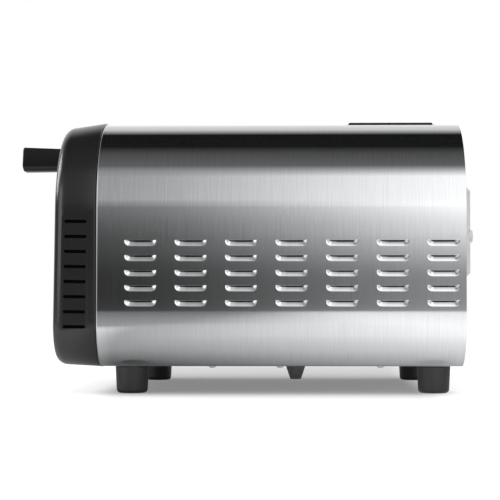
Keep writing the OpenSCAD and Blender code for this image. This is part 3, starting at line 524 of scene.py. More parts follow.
def on_front(x, y, z):
    """A place on the leaning front: y runs into the oven, z up from the moulding's foot"""
    lean = bpy.context.scene.oven_moulding.lean
    return Vector(
        (
            x,
            FRONT_LOW.y + y * math.cos(lean) + z * math.sin(lean),
            WRAP_LOW.z - y * math.sin(lean) + z * math.cos(lean),
        )
    )


def softened(node, radius, material, steps=2):
    """Replaces a solid by a copy with its sharp edges rounded"""
    bm = bmesh.new()
    bm.from_mesh(NODES[node].data)
    bm.transform(NODES[node].matrix_world)
    bmesh.ops.remove_doubles(bm, verts=bm.verts[:], dist=NEAR)
    bmesh.ops.dissolve_limit(bm, angle_limit=FLAT, verts=bm.verts[:], edges=bm.edges[:])
    edges = [e for e in bm.edges if len(e.link_faces) == 2 and e.calc_face_angle(0) > SHARP]
    bmesh.ops.bevel(
        bm,
        geom=edges,
        offset=radius,
        offset_type="OFFSET",
        segments=steps,
        profile=0.5,
        material=-1,
        affect="EDGES",
        clamp_overlap=True,
    )
    piece = finished("soft_" + node, bm, BODY_OF[node], material, (node,))
    piece.modifiers.new("Even shading", "WEIGHTED_NORMAL").keep_sharp = True
    return piece


def islands(bm):
    """Groups of vertices that hang together"""
    left, groups = set(bm.verts), []
    while left:
        group, queue = [], [left.pop()]
        while queue:
            vert = queue.pop()
            group.append(vert)
            for edge in vert.link_edges:
                other = edge.other_vert(vert)
                if other in left:
                    left.remove(other)
                    queue.append(other)
        groups.append(group)
    return groups


def cut_away(piece, cutter):
    """Cuts one piece by another and throws the cutter away"""
    cut = piece.modifiers.new("Cut", "BOOLEAN")
    cut.object = cutter
    cut.solver = "EXACT"
    bpy.context.view_layer.update()
    whole = piece.evaluated_get(bpy.context.evaluated_depsgraph_get())
    old, piece.data = piece.data, bpy.data.meshes.new_from_object(whole)
    piece.modifiers.clear()
    bpy.data.meshes.remove(old)
    bpy.data.objects.remove(cutter)


def recessed(node, way, material):
    """A softened solid of screws with a cross recess in each head, which faces along way"""
    # Reach and half width of an arm, and the depth
    arm, half, deep = 0.0021, 0.00045, 0.0011
    corner = [(half, -arm), (half, -half), (arm, -half)]
    cross = []
    for _ in range(4):
        cross += corner
        corner = [(-v, u) for u, v in corner]
    piece = softened(node, 0.0003, material)
    bm = bmesh.new()
    bm.from_mesh(piece.data)
    tips = []
    for group in islands(bm):
        spans = [sorted(v.co[i] for v in group) for i in range(3)]
        middle = Vector([(span[0] + span[-1]) / 2 for span in spans])
        top = max(v.co.dot(way) for v in group)
        tips.append(middle + way * (top - middle.dot(way)))
    bm.clear()
    side = Vector((1, 0, 0))
    up = way.cross(side)
    for tip in tips:
        flat = [tip + side * u + up * v for u, v in cross]
        closed_loft(bm, [[place + way * d for place in flat] for d in (deep, -deep)])
    face_outwards(bm)
    cut_away(piece, linked("recesses", bm))
    sharpened(piece, 35)
    return piece


def face_of(node):
    """Middle of a piece's front face: across, depth behind the moulding's face, and up"""
    lean = bpy.context.scene.oven_moulding.lean
    low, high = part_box(node)
    up = (low.z - WRAP_LOW.z) / math.cos(lean)
    deep = (low.y - FRONT_LOW.y - up * math.sin(lean)) / math.cos(lean)
    return (low.x + high.x) / 2, deep, up + (high.z - low.z) / 2


def printed(name, shapes, depth, body, material):
    """A piece of thin plates from (across, up) outlines and the middles of their faces"""
    bm = bmesh.new()
    for outline, (x, y, z) in shapes:
        sides = (-depth, depth)
        closed_loft(bm, [[on_front(x + u, y + d, z + v) for u, v in outline] for d in sides])
    face_outwards(bm)
    finished(name, bm, body, material, crease=20)


def bar(u0, v0, u1, v1):
    """Outline of an upright box"""
    return [(u0, v0), (u1, v0), (u1, v1), (u0, v1)]


def arc(radius, stroke, start, end, steps=28):
    """Outline of a part of a ring"""
    angles = [math.radians(start + (end - start) * k / steps) for k in range(steps + 1)]
    outer, inner = radius + stroke / 2, radius - stroke / 2
    return [(outer * math.cos(a), outer * math.sin(a)) for a in angles] + [
        (inner * math.cos(a), inner * math.sin(a)) for a in reversed(angles)
    ]


# Wrap

# Grid lines in louvre heights below a slit and past its straight part, and in shares of that part
ACROSS_STEPS = (
    -0.25, -0.1, -0.05, 0, 0.18, 0.36, 0.53, 0.67, 0.78, 0.87, 0.95, 1.02, 1.1, 1.2, 1.7,
)
END_STEPS = (0, 0.22, 0.42, 0.58, 0.71, 0.82, 0.91, 0.96, 1, 1.04, 1.1, 1.2)
MIDDLE_STEPS = (-0.4, 0.4)
# Grid lines behind the front edge in edge rolls: those that roll in, and those that stay flat
EDGE_STEPS = (0.3, 0.7, 1.1, 1.5)
EDGE_HELD = (1.7, 2.4, 4)
# Steps of the bends, least distance of grid lines, and the sheet's width under the vent's collar
SHOULDER_STEPS, CORNER_STEPS = 26, 16
DOUBLE = 1e-5
VENT_LIP = 0.015


def distinct(starts):
    """Sorted values with near doubles left out"""
    kept = []
    for value in sorted(starts):
        if not kept or value - kept[-1] > DOUBLE:
            kept.append(value)
    return kept


def nearest(value, places):
    """The place nearest to a value"""
    return min(places, key=lambda p: abs(p - value))


def louvre_centres(s):
    """Middles of the louvres along the wrap, and heights of the slits"""
    first = WRAP_LOW.y + s.first_along + s.louvre_length / 2
    along = [first + i * s.pitch_along for i in range(s.columns)]
    up = [WRAP_LOW.z + s.top_slit - k * s.pitch_up for k in range(s.rows)]
    return along, up


def press_depth(u, v, s):
    """Depth of a pressing at u along its slit and v below it"""
    half = s.louvre_length / 2 - s.louvre_height
    r = math.hypot(max(abs(u) - half, 0), v)
    return s.louvre_depth * max(1 - r / s.louvre_height, 0) ** s.louvre_curve


def quarter(x, z, radius, start, steps):
    """Places on a quarter turn, clockwise from start in degrees, without the first"""
    angles = [math.radians(start - 90 * k / steps) for k in range(1, steps + 1)]
    return [(x + radius * math.cos(a), z + radius * math.sin(a)) for a in angles]


def wrap_profile(s):
    """Half of the wrap's section, from the middle of the roof to the return below"""
    half, roof, foot = WRAP_HIGH.x, WRAP_HIGH.z, WRAP_LOW.z + s.corner
    bend, turn_in = half - s.shoulder, half - s.corner
    lines = {z - s.louvre_height * step for z in louvre_centres(s)[1] for step in ACROSS_STEPS}
    places = [(x, roof) for x in (0, VENT_HIGH.x - VENT_LIP, bend)]
    places += quarter(bend, roof - s.shoulder, s.shoulder, 90, SHOULDER_STEPS)
    places += [(half, z) for z in sorted(lines, reverse=True)] + [(half, foot)]
    places += quarter(turn_in, foot, s.corner, 0, CORNER_STEPS)
    return places + [(turn_in - s.returns, WRAP_LOW.z)]


def press(bm, s, centres, slits):
    """Slits the wall and presses the louvres in"""
    half = s.louvre_length / 2
    wall = {v for v in bm.verts if abs(v.co.x - WRAP_HIGH.x) < NEAR}
    slit_edges = []
    for edge in bm.edges:
        a, b = (vert.co for vert in edge.verts)
        if not wall.issuperset(edge.verts) or abs(a.z - b.z) > NEAR:
            continue
        y = nearest((a.y + b.y) / 2, centres)
        in_slit = max(abs(a.y - y), abs(b.y - y)) < half + NEAR
        if in_slit and abs(a.z - nearest(a.z, slits)) < NEAR:
            slit_edges.append(edge)
    bmesh.ops.split_edges(bm, edges=slit_edges)
    for vert in bm.verts:
        below = [z for z in slits if z - vert.co.z > -NEAR]
        if abs(vert.co.x - WRAP_HIGH.x) > NEAR or not below:
            continue
        slit = min(below)
        v = slit - vert.co.z
        u = vert.co.y - nearest(vert.co.y, centres)
        upper = [f.calc_center_median().z > slit for f in vert.link_faces]
        if v > NEAR or not any(upper):
            vert.co.x -= press_depth(u, v, s)
        elif all(upper):
            vert.co.x -= s.slit_roll * min(1, (half - abs(u)) / s.louvre_height)


def wrap_bmesh(s):
    """The pressed sheet of the wrap's right half"""
    centres, slits = louvre_centres(s)
    half = s.louvre_length / 2 - s.louvre_height
    vent = (VENT_LOW.y + VENT_LIP, VENT_HIGH.y - VENT_LIP)
    stops = [WRAP_LOW.y, WRAP_HIGH.y, *vent]
    stops += [WRAP_LOW.y + s.edge_roll * step for step in EDGE_STEPS + EDGE_HELD]
    for y in centres:
        stops += [y + half * step for step in MIDDLE_STEPS]
        for step in END_STEPS:
            reach = half + s.louvre_height * step
            stops += [y - reach, y + reach]
    stops = distinct(stops)
    profile = wrap_profile(s)
    bm = bmesh.new()
    bmesh.ops.create_grid(bm, x_segments=len(stops) - 1, y_segments=len(profile) - 1, size=1)
    across = distinct(v.co.x for v in bm.verts)
    down = distinct(v.co.y for v in bm.verts)
    for vert in bm.verts:
        y = stops[across.index(nearest(vert.co.x, across))]
        x, z = profile[down.index(nearest(vert.co.y, down))]
        vert.co = (x, y, z)
    hole = []
    for face in bm.faces:
        x, y, z = face.calc_center_median()
        if x < VENT_HIGH.x - VENT_LIP and z > WRAP_HIGH.z - s.sheet and vent[0] < y < vent[1]:
            hole.append(face)
    bmesh.ops.delete(bm, geom=hole, context="FACES")
    press(bm, s, centres, slits)
    bm.normal_update()
    for vert in bm.verts:
        share = (vert.co.y - WRAP_LOW.y) / s.edge_roll
        if share < EDGE_STEPS[-1]:
            vert.co -= vert.normal * s.edge_roll * (1 - share / EDGE_STEPS[-1]) ** 2
    return bm


class OVEN_OT_wrap(bpy.types.Operator):
    """Makes the louvred steel wrap"""

    bl_idname = "oven.wrap"
    bl_label = "Wrap"

    def execute(self, context):
        s = context.scene.oven_wrap
        bm = wrap_bmesh(s)
        whole = bm.verts[:] + bm.edges[:] + bm.faces[:]
        bmesh.ops.mirror(bm, geom=whole, merge_dist=NEAR, axis="X")
        face_outwards(bm)
        top = max(bm.faces, key=lambda f: f.calc_center_median().z)
        if top.normal.z < 0:
            bmesh.ops.reverse_faces(bm, faces=bm.faces[:])
        bmesh.ops.solidify(bm, geom=bm.faces[:], thickness=s.sheet)
        steel = brushed_sheet(
            "Brushed wrap",
            s.colour,
            roughness=0.085,
            lines=(22, 1100, 22),
            contrast=0.5,
            anisotropy=0.95,
            axis="Y",
        )
        finished("wrap", bm, "body", steel, ("outer_shell",))
        return {"FINISHED"}


# Front moulding

# Roundings of the openings' rims, and edge and corners of the panels round the side slots
DOOR_RIM, FASCIA_RIM = 0.0006, 0.0004
PANEL_EDGE, PANEL_CORNER = 0.0055, 0.0016


def moulding_front(inset):
    """The moulding's outline where its front rounding starts, in the leaning front"""
    s, w = bpy.context.scene.oven_moulding, bpy.context.scene.oven_wrap
    draft = s.taper + inset
    high = WRAP_HIGH.z - WRAP_LOW.z + s.proud - s.drop - inset
    width = 2 * (WRAP_HIGH.x + s.proud - draft)
    return arch(width, s.rise + inset, high, w.shoulder - draft, w.corner - draft)


def moulding_rear(inset, y):
    """The moulding's outline at the seam"""
    s, w = bpy.context.scene.oven_moulding, bpy.context.scene.oven_wrap
    out = s.proud - inset
    width, low, high = 2 * (WRAP_HIGH.x + out), WRAP_LOW.z + inset, WRAP_HIGH.z + out
    points = arch(width, low, high, w.shoulder + out, w.corner + out)
    return [Vector((x, y, z)) for x, z in points]


def opening_rings(outline, edge, depth):
    """Rings from a rounded rim on the face to the back of the face"""
    rings = []
    for turn in turns(4):
        grow, deep = edge * (1 - math.sin(turn)), edge * (1 - math.cos(turn))
        rings.append([on_front(x, deep, z) for x, z in outline(grow)])
    rings.append([on_front(x, depth, z) for x, z in outline(0)])
    return rings


def door_outline(grow):
    """The opening for the door"""
    d = bpy.context.scene.oven_door
    wide = d.gap + grow
    width, low, high = 2 * (WRAP_HIGH.x - d.side + wide), d.low - wide, d.low + d.height + wide
    return arch(width, low, high, d.r_top + wide, d.r_low + wide, 28, 8)


def fascia_outline(grow):
    """The opening for the control fascia"""
    d = bpy.context.scene.oven_door
    wide = d.fascia_gap + grow
    width, low = 2 * (WRAP_HIGH.x - d.fascia_side + wide), d.fascia_low - wide
    high, r = d.fascia_low + d.fascia_height + wide, d.fascia_corner + wide
    return arch(width, low, high, r, r, 10, 10)


def slot_outline(length, height):
    """Outline of a slot with round ends"""
    half, r = (length - height) / 2, height / 2
    points = []
    for centre, start in ((half, -90), (-half, 90)):
        for k in range(9):
            turn = math.radians(start + 180 * k / 8)
            points.append((centre + r * math.cos(turn), r * math.sin(turn)))
    return points


def side_wall(y):
    """Half width of the moulding's side at a place along the oven"""
    s = bpy.context.scene.oven_moulding
    rear = WRAP_LOW.y - s.seam
    return WRAP_HIGH.x + s.proud - s.taper * (rear - y) / (rear - FRONT_LOW.y - s.rounding)


def side_cutters(name, outlines, outer, depth):
    """Closed cutters on both sides from outlines of (into the oven, up) places"""
    bm = bmesh.new()
    for side in (-1, 1):
        for outline in outlines:
            places = [on_front(0, u, v) for u, v in outline]
            rings = [
                [Vector((side * (side_wall(p.y) - d), p.y, p.z)) for p in places]
                for d in (-outer, depth)
            ]
            closed_loft(bm, rings)
    face_outwards(bm)
    return linked(name, bm)


def slot_cutters(s):
    """Cutters for the side slots"""
    slot = slot_outline(s.slot_length, s.slot_height)
    heights = [s.slot_low + k * s.slot_pitch for k in range(s.slots)]
    outlines = [[(s.slot_mid + u, z + v) for u, v in slot] for z in heights]
    return side_cutters("slot_cutters", outlines, s.wall, 2 * s.wall)


def panel_cutters(s):
    """Cutters for the shallow panels round the side slots"""
    low = s.slot_low - PANEL_EDGE
    high = s.slot_low + (s.slots - 1) * s.slot_pitch + PANEL_EDGE
    panel = arch(s.slot_length + PANEL_EDGE, low, high, PANEL_CORNER, PANEL_CORNER, 4, 4)
    outline = [(s.slot_mid + u, v) for u, v in panel]
    return side_cutters("panel_cutters", [outline], s.wall, s.recess)


def moulding_bmesh(s):
    """The moulding before its slots are cut"""
    bm = bmesh.new()
    rear = WRAP_LOW.y - s.seam
    rings = [
        [on_front(x, s.face, z) for x, z in moulding_front(s.wall)],
        moulding_rear(s.wall, rear),
    ]
    for turn in turns(4):
        back = rear - s.lip * (1 - math.cos(turn))
        rings.append(moulding_rear(s.lip * (1 - math.sin(turn)), back))
    for turn in turns(12):
        outline = moulding_front(s.rounding_in * (1 - math.cos(turn)))
        deep = s.rounding * (1 - math.sin(turn))
        rings.append([on_front(x, deep, z) for x, z in outline])
    skin = loft(bm, rings)
    door = loft(bm, opening_rings(door_outline, DOOR_RIM, s.face))
    fascia = loft(bm, opening_rings(fascia_outline, FASCIA_RIM, s.face))
    fill(bm, skin[-1], door[0], fascia[0])
    fill(bm, skin[0], door[-1], fascia[-1])
    face_outwards(bm)
    return bm


class OVEN_OT_moulding(bpy.types.Operator):
    """Makes the front moulding with its slots"""

    bl_idname = "oven.moulding"
    bl_label = "Front moulding"

    def execute(self, context):
        s = context.scene.oven_moulding
        plastic = moulded_plastic("Charcoal moulding", s.colour, 0.2)
        bm = moulding_bmesh(s)
        piece = finished("moulding", bm, "body", plastic, ("front_bezel",))
        cut_away(piece, panel_cutters(s))
        cut_away(piece, slot_cutters(s))
        sharpened(piece, 30)
        return {"FINISHED"}


# Handle

# Least radius of an edge, rings in shares of the length, and rings inside the tip's rim
LEAST_RADIUS = 0.0004
SHARES = (0.2, 0.4, 0.6, 0.8)
TIP_SHRINKS = (0.004, 0.007, 0.0095)


def handle_outline(h, share, shrink=0.0):
    """Section of the handle at a share of its length"""
    half = h.height / 2 - h.flare * (1 - share) - shrink
    r_top, r_low = (max(r - shrink, LEAST_RADIUS) for r in (h.r_top, h.r_low))
    return arch(h.width - 2 * shrink, -half, half, r_top, r_low, 8, 12)


def handle_bmesh(h):
    """The pull handle, from the door's face to its crowned tip"""
    lean = bpy.context.scene.oven_moulding.lean
    reach = FRONT_LOW.y + h.middle * math.sin(lean) - CAD_BOX[0][1]
    long = h.inset + reach / math.cos(lean)

    def placed(outline, back):
        deep = h.inset - long + back
        return [on_front(x, deep + v * v / 2 / h.crown, h.middle + v) for x, v in outline]

    rings = [[on_front(x, h.inset, h.middle + v) for x, v in handle_outline(h, 0)]]
    for share in SHARES:
        rings.append(placed(handle_outline(h, share), long * (1 - share)))
    for turn in turns(6):
        outline = handle_outline(h, 1, h.r_tip * (1 - math.cos(turn)))
        rings.append(placed(outline, h.r_tip * (1 - math.sin(turn))))
    for shrink in TIP_SHRINKS:
        rings.append(placed(handle_outline(h, 1, shrink), 0))
    bm = bmesh.new()
    closed_loft(bm, rings)
    face_outwards(bm)
    return bm


class OVEN_OT_handle(bpy.types.Operator):
    """Makes the pull handle"""

    bl_idname = "oven.handle"
    bl_label = "Handle"

    def execute(self, context):
        h = context.scene.oven_handle
        plastic = moulded_plastic("Handle plastic", h.colour, 0.24, 2000, 0.00002, shine=0.3)
        bm = handle_bmesh(h)
        finished("handle", bm, "door", plastic, ("handle_grip",), crease=50)
        return {"FINISHED"}


# Door


class OVEN_OT_door(bpy.types.Operator):
    """Softens the door's frame and inner panel"""

    bl_idname = "oven.door"
    bl_label = "Door"

    def execute(self, context):
        plastic = moulded_plastic("Door plastic", (0.006, 0.006, 0.0062), 0.16, 1500, 0.00001)
        softened("door_frame", 0.0011, plastic, 3)
        sheet = brushed_sheet("Inner sheet", (0.5, 0.5, 0.5), 0.28, (900, 30, 30), 0.4)
        softened("door_inner_panel", 0.0008, sheet)
        return {"FINISHED"}


# Controls

# Shares of a digit's height: half width, stroke and spacing, and the gap between strokes in strokes
DIGIT_HALF, DIGIT_STROKE, DIGIT_PITCH, DIGIT_GAP = 0.26, 0.13, 0.86, 0.16
SEGMENTS = {
    "0": "abcdef", "1": "bc", "2": "abdeg", "3": "abcdg", "4": "bcfg",
    "5": "acdfg", "6": "acdefg", "7": "abc", "8": "abcdefg", "9": "abcdfg",
}


def digit_outlines(digit, height):
    """Outlines of a seven-segment digit round its middle"""
    w, h, t = height * DIGIT_HALF, height / 2, height * DIGIT_STROKE / 2
    end = t + height * DIGIT_STROKE * DIGIT_GAP
    shapes = {}
    for key, v in (("a", h), ("g", 0), ("d", -h)):
        shapes[key] = bar(end - w, v - t, w - end, v + t)
    for key, u, low in (("f", -w, 0), ("b", w, 0), ("e", -w, -h), ("c", w, -h)):
        shapes[key] = bar(u - t, low + end, u + t, low + h - end)
    return [shapes[key] for key in SEGMENTS[digit]]


def turned(outline, degrees):
    """An outline turned about the middle"""
    c, s = math.cos(math.radians(degrees)), math.sin(math.radians(degrees))
    return [(u * c - v * s, u * s + v * c) for u, v in outline]


def button_marks(c):
    """Outlines of each button's mark"""
    m, t = c.mark, c.stroke
    flat = bar(-m, -t / 2, m, t / 2)
    ray = bar(m * 0.85, -t / 2, m * 1.25, t / 2)
    return {
        "button_power": [arc(m, t, 120, 420), bar(-t / 2, m * 0.25, t / 2, m * 1.3)],
        "button_program": [bar(-m, v - t / 2, m, v + t / 2) for v in (-m * 0.7, 0, m * 0.7)],
        "button_light": [arc(m * 0.5, t, 1, 359)] + [turned(ray, 60 * k) for k in range(6)],
        "button_less": [flat],
        "button_more": [flat, bar(-t / 2, t / 2, t / 2, m), bar(-t / 2, -m, t / 2, -t / 2)],
        "button_start": [[(-m * 0.75, -m), (m, 0), (-m * 0.75, m)]],
    }


def glowing(name, colour):
    """Lit print of the display"""
    material, tree, shader = new_material(name)
    tone = place_group(tree, skin_group(), {"Size": 300.0, "Drift": 160.0})["Tone"]
    inputs = {
        "Base Color": tinted(tree, tone, colour, 0.7, 1.0),
        "Emission Color": tinted(tree, tone, colour, 0.8, 1.1),
        "Emission Strength": 0.9,
    }
    feed(tree, shader, inputs)
    return material


class OVEN_OT_controls(bpy.types.Operator):
    """Softens the control fascia and prints its marks and digits"""

    bl_idname = "oven.controls"
    bl_label = "Controls"

    def execute(self, context):
        c = context.scene.oven_controls
        gloss = moulded_plastic("Fascia gloss", (0.004, 0.004, 0.0043), 0.1, 900, 0.000006)
        smoke = moulded_plastic("Display smoke", (0.004, 0.004, 0.005), 0.05, 700, 0.000004)
        cap = moulded_plastic("Button plastic", (0.035, 0.035, 0.037), 0.34, 1900, 0.00004)
        white = moulded_plastic("Print white", (0.72, 0.72, 0.7), 0.5, 2400, 0.00001)
        softened("control_fascia", 0.0004, gloss)
        softened("display_window", 0.0003, smoke)
        marks = button_marks(c)
        for node in BUTTONS:
            softened(node, 0.0006, cap, 3)
            shapes = [(outline, face_of(node)) for outline in marks[node]]
            printed("mark_" + node, shapes, c.print_depth, BODY_OF[node], white)
        x, y, z = face_of("display_window")
        digits = str(c.reading)
        shapes = []
        for k, digit in enumerate(digits):
            middle = x + (k - (len(digits) - 1) / 2) * c.digit * DIGIT_PITCH
            shapes += [(outline, (middle, y, z)) for outline in digit_outlines(digit, c.digit)]
        lit = glowing("Display digits", c.glow)
        printed("display_digits", shapes, c.print_depth, "body", lit)
        return {"FINISHED"}


# Roof, rear and feet


class OVEN_OT_roof(bpy.types.Operator):
    """Softens the roof vent"""

    bl_idname = "oven.roof"
    bl_label = "Roof vent"

    def execute(self, context):
        collar = brushed_sheet("Collar steel", (0.6, 0.59, 0.58), 0.2, (40, 900, 40), 0.5)
        black = moulded_plastic("Grille black", (0.012, 0.012, 0.012), 0.4, 1800, 0.00004)
        softened("vent_collar", 0.0005, collar)
        softened("vent_grille", 0.0004, black)
        return {"FINISHED"}


class OVEN_OT_rear(bpy.types.Operator):
    """Softens the rear cover and its bush and recesses the screws"""

    bl_idname = "oven.rear"
    bl_label = "Rear"

    def execute(self, context):
        cover = moulded_plastic("Cover paint", (0.8, 0.81, 0.81), 0.34, 1200, 0.00003, 40, 0.06)
        bush = moulded_plastic("Bush plastic", (0.66, 0.66, 0.66), 0.45, 1500, 0.00004)
        softened("rear_cover", 0.0012, cover, 3)
        softened("cord_gland", 0.0006, bush)
        zinc = brushed_sheet("Screw zinc", (0.6, 0.6, 0.61), 0.22, (300, 300, 300), 0.3)
        back, down = Vector((0, 1, 0)), Vector((0, 0, -1))
        for node in ("rear_screws", "cover_screws", "door_screws", "handle_screws"):
            recessed(node, back, zinc)
        recessed("base_screws", down, zinc)
        recessed("foot_screws", down, zinc).visible_glossy = False
        return {"FINISHED"}


class OVEN_OT_feet(bpy.types.Operator):
    """Softens the feet and the stud below"""

    bl_idname = "oven.feet"
    bl_label = "Feet"

    def execute(self, context):
        rubber = moulded_plastic("Foot rubber", (0.02, 0.02, 0.0208), 0.5, 2200, 0.00008)
        # The stud's pale grey is partly painted light: raised so that the stud shows lit in the
        # shade under the oven
        stud = moulded_plastic("Stud plastic", (0.3, 0.3, 0.3), 0.5, 1500, 0.00005)
        for node in NODES:
            if node.startswith("foot_") and node != "foot_screws":
                softened(node, 0.0013, rubber, 3).visible_glossy = False
        softened("centre_stud", 0.0008, stud)
        return {"FINISHED"}


# Other finishes

# Slots of the solids that stay in view: name, colour, roughness, lines along x, y and z, contrast
SHEETS = {
    "sheet_steel": ("Plain sheet", (0.5, 0.5, 0.5), 0.27, (14, 14, 1500), 0.4),
    "screw_steel": ("Zinc", (0.6, 0.6, 0.61), 0.25, (400, 400, 400), 0.3),
    "liner_steel": ("Heat-dulled steel", (0.33, 0.32, 0.31), 0.4, (90, 90, 700), 0.8),
    "heater_tube": ("Heater tube", (0.2, 0.18, 0.17), 0.45, (300, 300, 300), 0.6),
}
# The same for even stuffs: name, colour, roughness, size and depth of pits, drift, spread
PLASTICS = {
    "component_black": ("Black satin", (0.018, 0.018, 0.018), 0.38),
    "vent_black": ("Inner black", (0.004, 0.004, 0.004), 0.85, 1500, 0.00003),
    "rubber_black": ("Rubber", (0.04, 0.04, 0.041), 0.55, 2200, 0.00008),
    "board_green": ("Board", (0.03, 0.16, 0.07), 0.45, 900, 0.00003, 220, 0.3),
    "white_ceramic": ("Ceramic", (0.78, 0.77, 0.73), 0.5),
    "stone_tan": ("Stone", (0.6, 0.5, 0.36), 0.85, 650, 0.0004, 260, 0.42),
    "wool": ("Wool", (0.3, 0.29, 0.25), 0.95, 420, 0.0009, 130, 0.4),
    "seal_grey": ("Seal", (0.18, 0.18, 0.18), 0.9, 800, 0.0006, 500, 0.5),
}
PANES = {
    "glass_dark": ("Dark pane", (0.8, 0.8, 0.82)),
    "glass_clear": ("Clear pane", (0.96, 0.97, 0.97)),
}


class OVEN_OT_finishes(bpy.types.Operator):
    """Gives the solids that stay in view their finishes"""

    bl_idname = "oven.finishes"
    bl_label = "Finishes"

    def execute(self, context):
        by_slot = {}
        for maker, table in (
            (brushed_sheet, SHEETS),
            (moulded_plastic, PLASTICS),
            (glass_pane, PANES),
        ):
            for slot, values in table.items():
                by_slot[slot] = maker(*values)
        for node, slot in SLOT_OF.items():
            paint(by_slot.get(slot, by_slot["component_black"]), node)
        return {"FINISHED"}


# Stage

# Studio as the metal shows it: greys by angle over the half turn, and by place along the oven
SKY_BANDS = (
    (0, 0.125), (1.7, 0.135), (2.3, 0.28), (3, 0.37), (4.1, 0.43), (6.5, 0.72), (14, 0.97),
    (44, 0.93), (60, 0.18), (80, 0.1), (92, 0.01), (119.5, 0.01), (136, 0.85), (168, 1.05),
    (176, 0.42), (180, 0.15),
)
SIDE_ONCE = ((0, 1), (46, 1), (62, 0), (118, 0), (176, 0))
SIDE_TWICE = ((0, 1), (3.4, 1), (5, 0.72), (14, 0), (180, 0))
SIDE_GAIN = (
    (0, 0.36), (0.28, 0.25), (0.38, 0.15), (0.45, 0.21), (0.54, 0.6), (0.66, 0.95), (0.75, 0.5),
    (1, 0.36),
)
SIDE_PEAK = 2.7
# Studio beyond the oven's ends: greys by height and by place along the oven
END_START = (0.42, 0.62)
END_BANDS = ((0, 0.4), (0.49, 0.8), (0.52, 1), (0.7, 1), (0.88, 0.3), (1, 0.15))
END_GAIN = ((0, 0.1), (0.04, 0.16), (0.1, 0.7), (0.2, 1), (0.93, 1), (0.985, 0.5), (1, 0.35))
# Studio for dull surfaces: light from the horizon and from above
SOFT_LOW, SOFT_HIGH = 0.12, 1.1
# Floor to the eye: size, the darker share of its colour that eye and metal see so that its painted
# glow rules, a box of painted shadow round the oven, its fading by place across the oven, and the
# painted light from the dim box to the white far off
FLOOR_HALF, FLOOR_SEEN = 10.4, 0.42
SHADE_MIDDLE, SHADE_HALF = (-0.14, 0.03, 0), (0.24, 0.145, 0)
PULL_ACROSS, PULL_ALONG = (0, 0.01, 1, 2.6), (-0.65, -0.2, 2, 10.5)
SHADE_REACH, SHADE_LIGHT = 0.56, (0.225, 0.75)
# Floor to the metal, painted light that only gloss sees: greys over a span along the oven, and
# fades from start to end, low to high, which paint shade near the oven and beside it
FLOOR_SPAN = (-0.4, 0.4)
FLOOR_BANDS = ((0.27, 0), (0.8, 0.95))
FRONT_BANDS = ((0.27, 0.75), (0.33, 0))
FRONT_FADE, NEAR_FADE = (0.6, 0.35), (0.06, 0.27, 0.25, 1.2)
BESIDE_SLANT, BESIDE_FADE = 0.6, (0.1, 0.35, 1, 0.25)
# Lamps: name, place, aim, size, power and whether gloss shows them
LAMPS = (
    ("Key", (0.75, 0.3, 2.3), (0.1, 0, 0.1), 1.8, 24, False),
    ("Fill", (1.3, -1.9, 0.62), (0, 0, 0.15), 1.2, 8, True),
    ("Rim", (-0.2, -1.9, 1.08), (0.18, -0.18, 0.2), 1.0, 22, True),
)


def ray_kinds(tree):
    """Masks of the rays straight from the eye, also through glass, and of those a gloss has sent"""
    path = add(tree, "ShaderNodeLightPath").outputs
    through = path["Is Transmission Ray"]
    sent = maths(tree, "GREATER_THAN", path["Glossy Depth"], 0.5)
    after = maths(tree, "MULTIPLY", through, sent)
    before = maths(tree, "SUBTRACT", through, after)
    seen = maths(tree, "MAXIMUM", path["Is Camera Ray"], before)
    return seen, maths(tree, "MAXIMUM", path["Is Glossy Ray"], after)


def angle_ramp(tree, share, stops):
    """A ramp over the half turn from the right to the left, from (degrees, grey) stops"""
    return ramp(tree, share, [(angle / 180, grey) for angle, grey in stops])


def studio_world():
    """White to the eye, and a studio with dark flags to the metal"""
    world = bpy.data.worlds.new("Studio")
    bpy.context.scene.world = world
    world.use_nodes = True
    tree = world.node_tree
    tree.nodes.clear()
    place = add(tree, "ShaderNodeTexCoord").outputs["Generated"]
    way = add(tree, "ShaderNodeSeparateXYZ", {0: place}).outputs
    share = maths(tree, "DIVIDE", maths(tree, "ARCTAN2", way["Z"], way["X"]), math.pi)
    along, height = (mapped(tree, way[axis], -1, 1) for axis in "YZ")
    side = maths(tree, "MULTIPLY", ramp(tree, along, SIDE_GAIN), SIDE_PEAK)
    light = angle_ramp(tree, share, SKY_BANDS)
    for stops in (SIDE_ONCE, SIDE_TWICE):
        mask = angle_ramp(tree, share, stops)
        gain = add(tree, "ShaderNodeMix", {0: mask, 2: 1.0, 3: side}).outputs[0]
        light = maths(tree, "MULTIPLY", light, gain)
    end = mapped(tree, maths(tree, "ABSOLUTE", way["Y"]), *END_START, kind="SMOOTHSTEP")
    boxes = maths(tree, "MULTIPLY", ramp(tree, height, END_BANDS), ramp(tree, along, END_GAIN))
    light = add(tree, "ShaderNodeMix", {0: end, 2: light, 3: boxes}).outputs[0]
    seen, glossy = ray_kinds(tree)
    soft = mapped(tree, way["Z"], 0, 1, SOFT_LOW, SOFT_HIGH)
    studio, diffuse, white = (
        add(tree, "ShaderNodeBackground", {"Color": (1, 1, 1, 1), "Strength": strength}).outputs[0]
        for strength in (light, soft, 1.0)
    )
    unseen = add(tree, "ShaderNodeMixShader", {0: glossy, 1: diffuse, 2: studio}).outputs[0]
    whole = add(tree, "ShaderNodeMixShader", {0: seen, 1: unseen, 2: white}).outputs[0]
    add(tree, "ShaderNodeOutputWorld", {"Surface": whole})


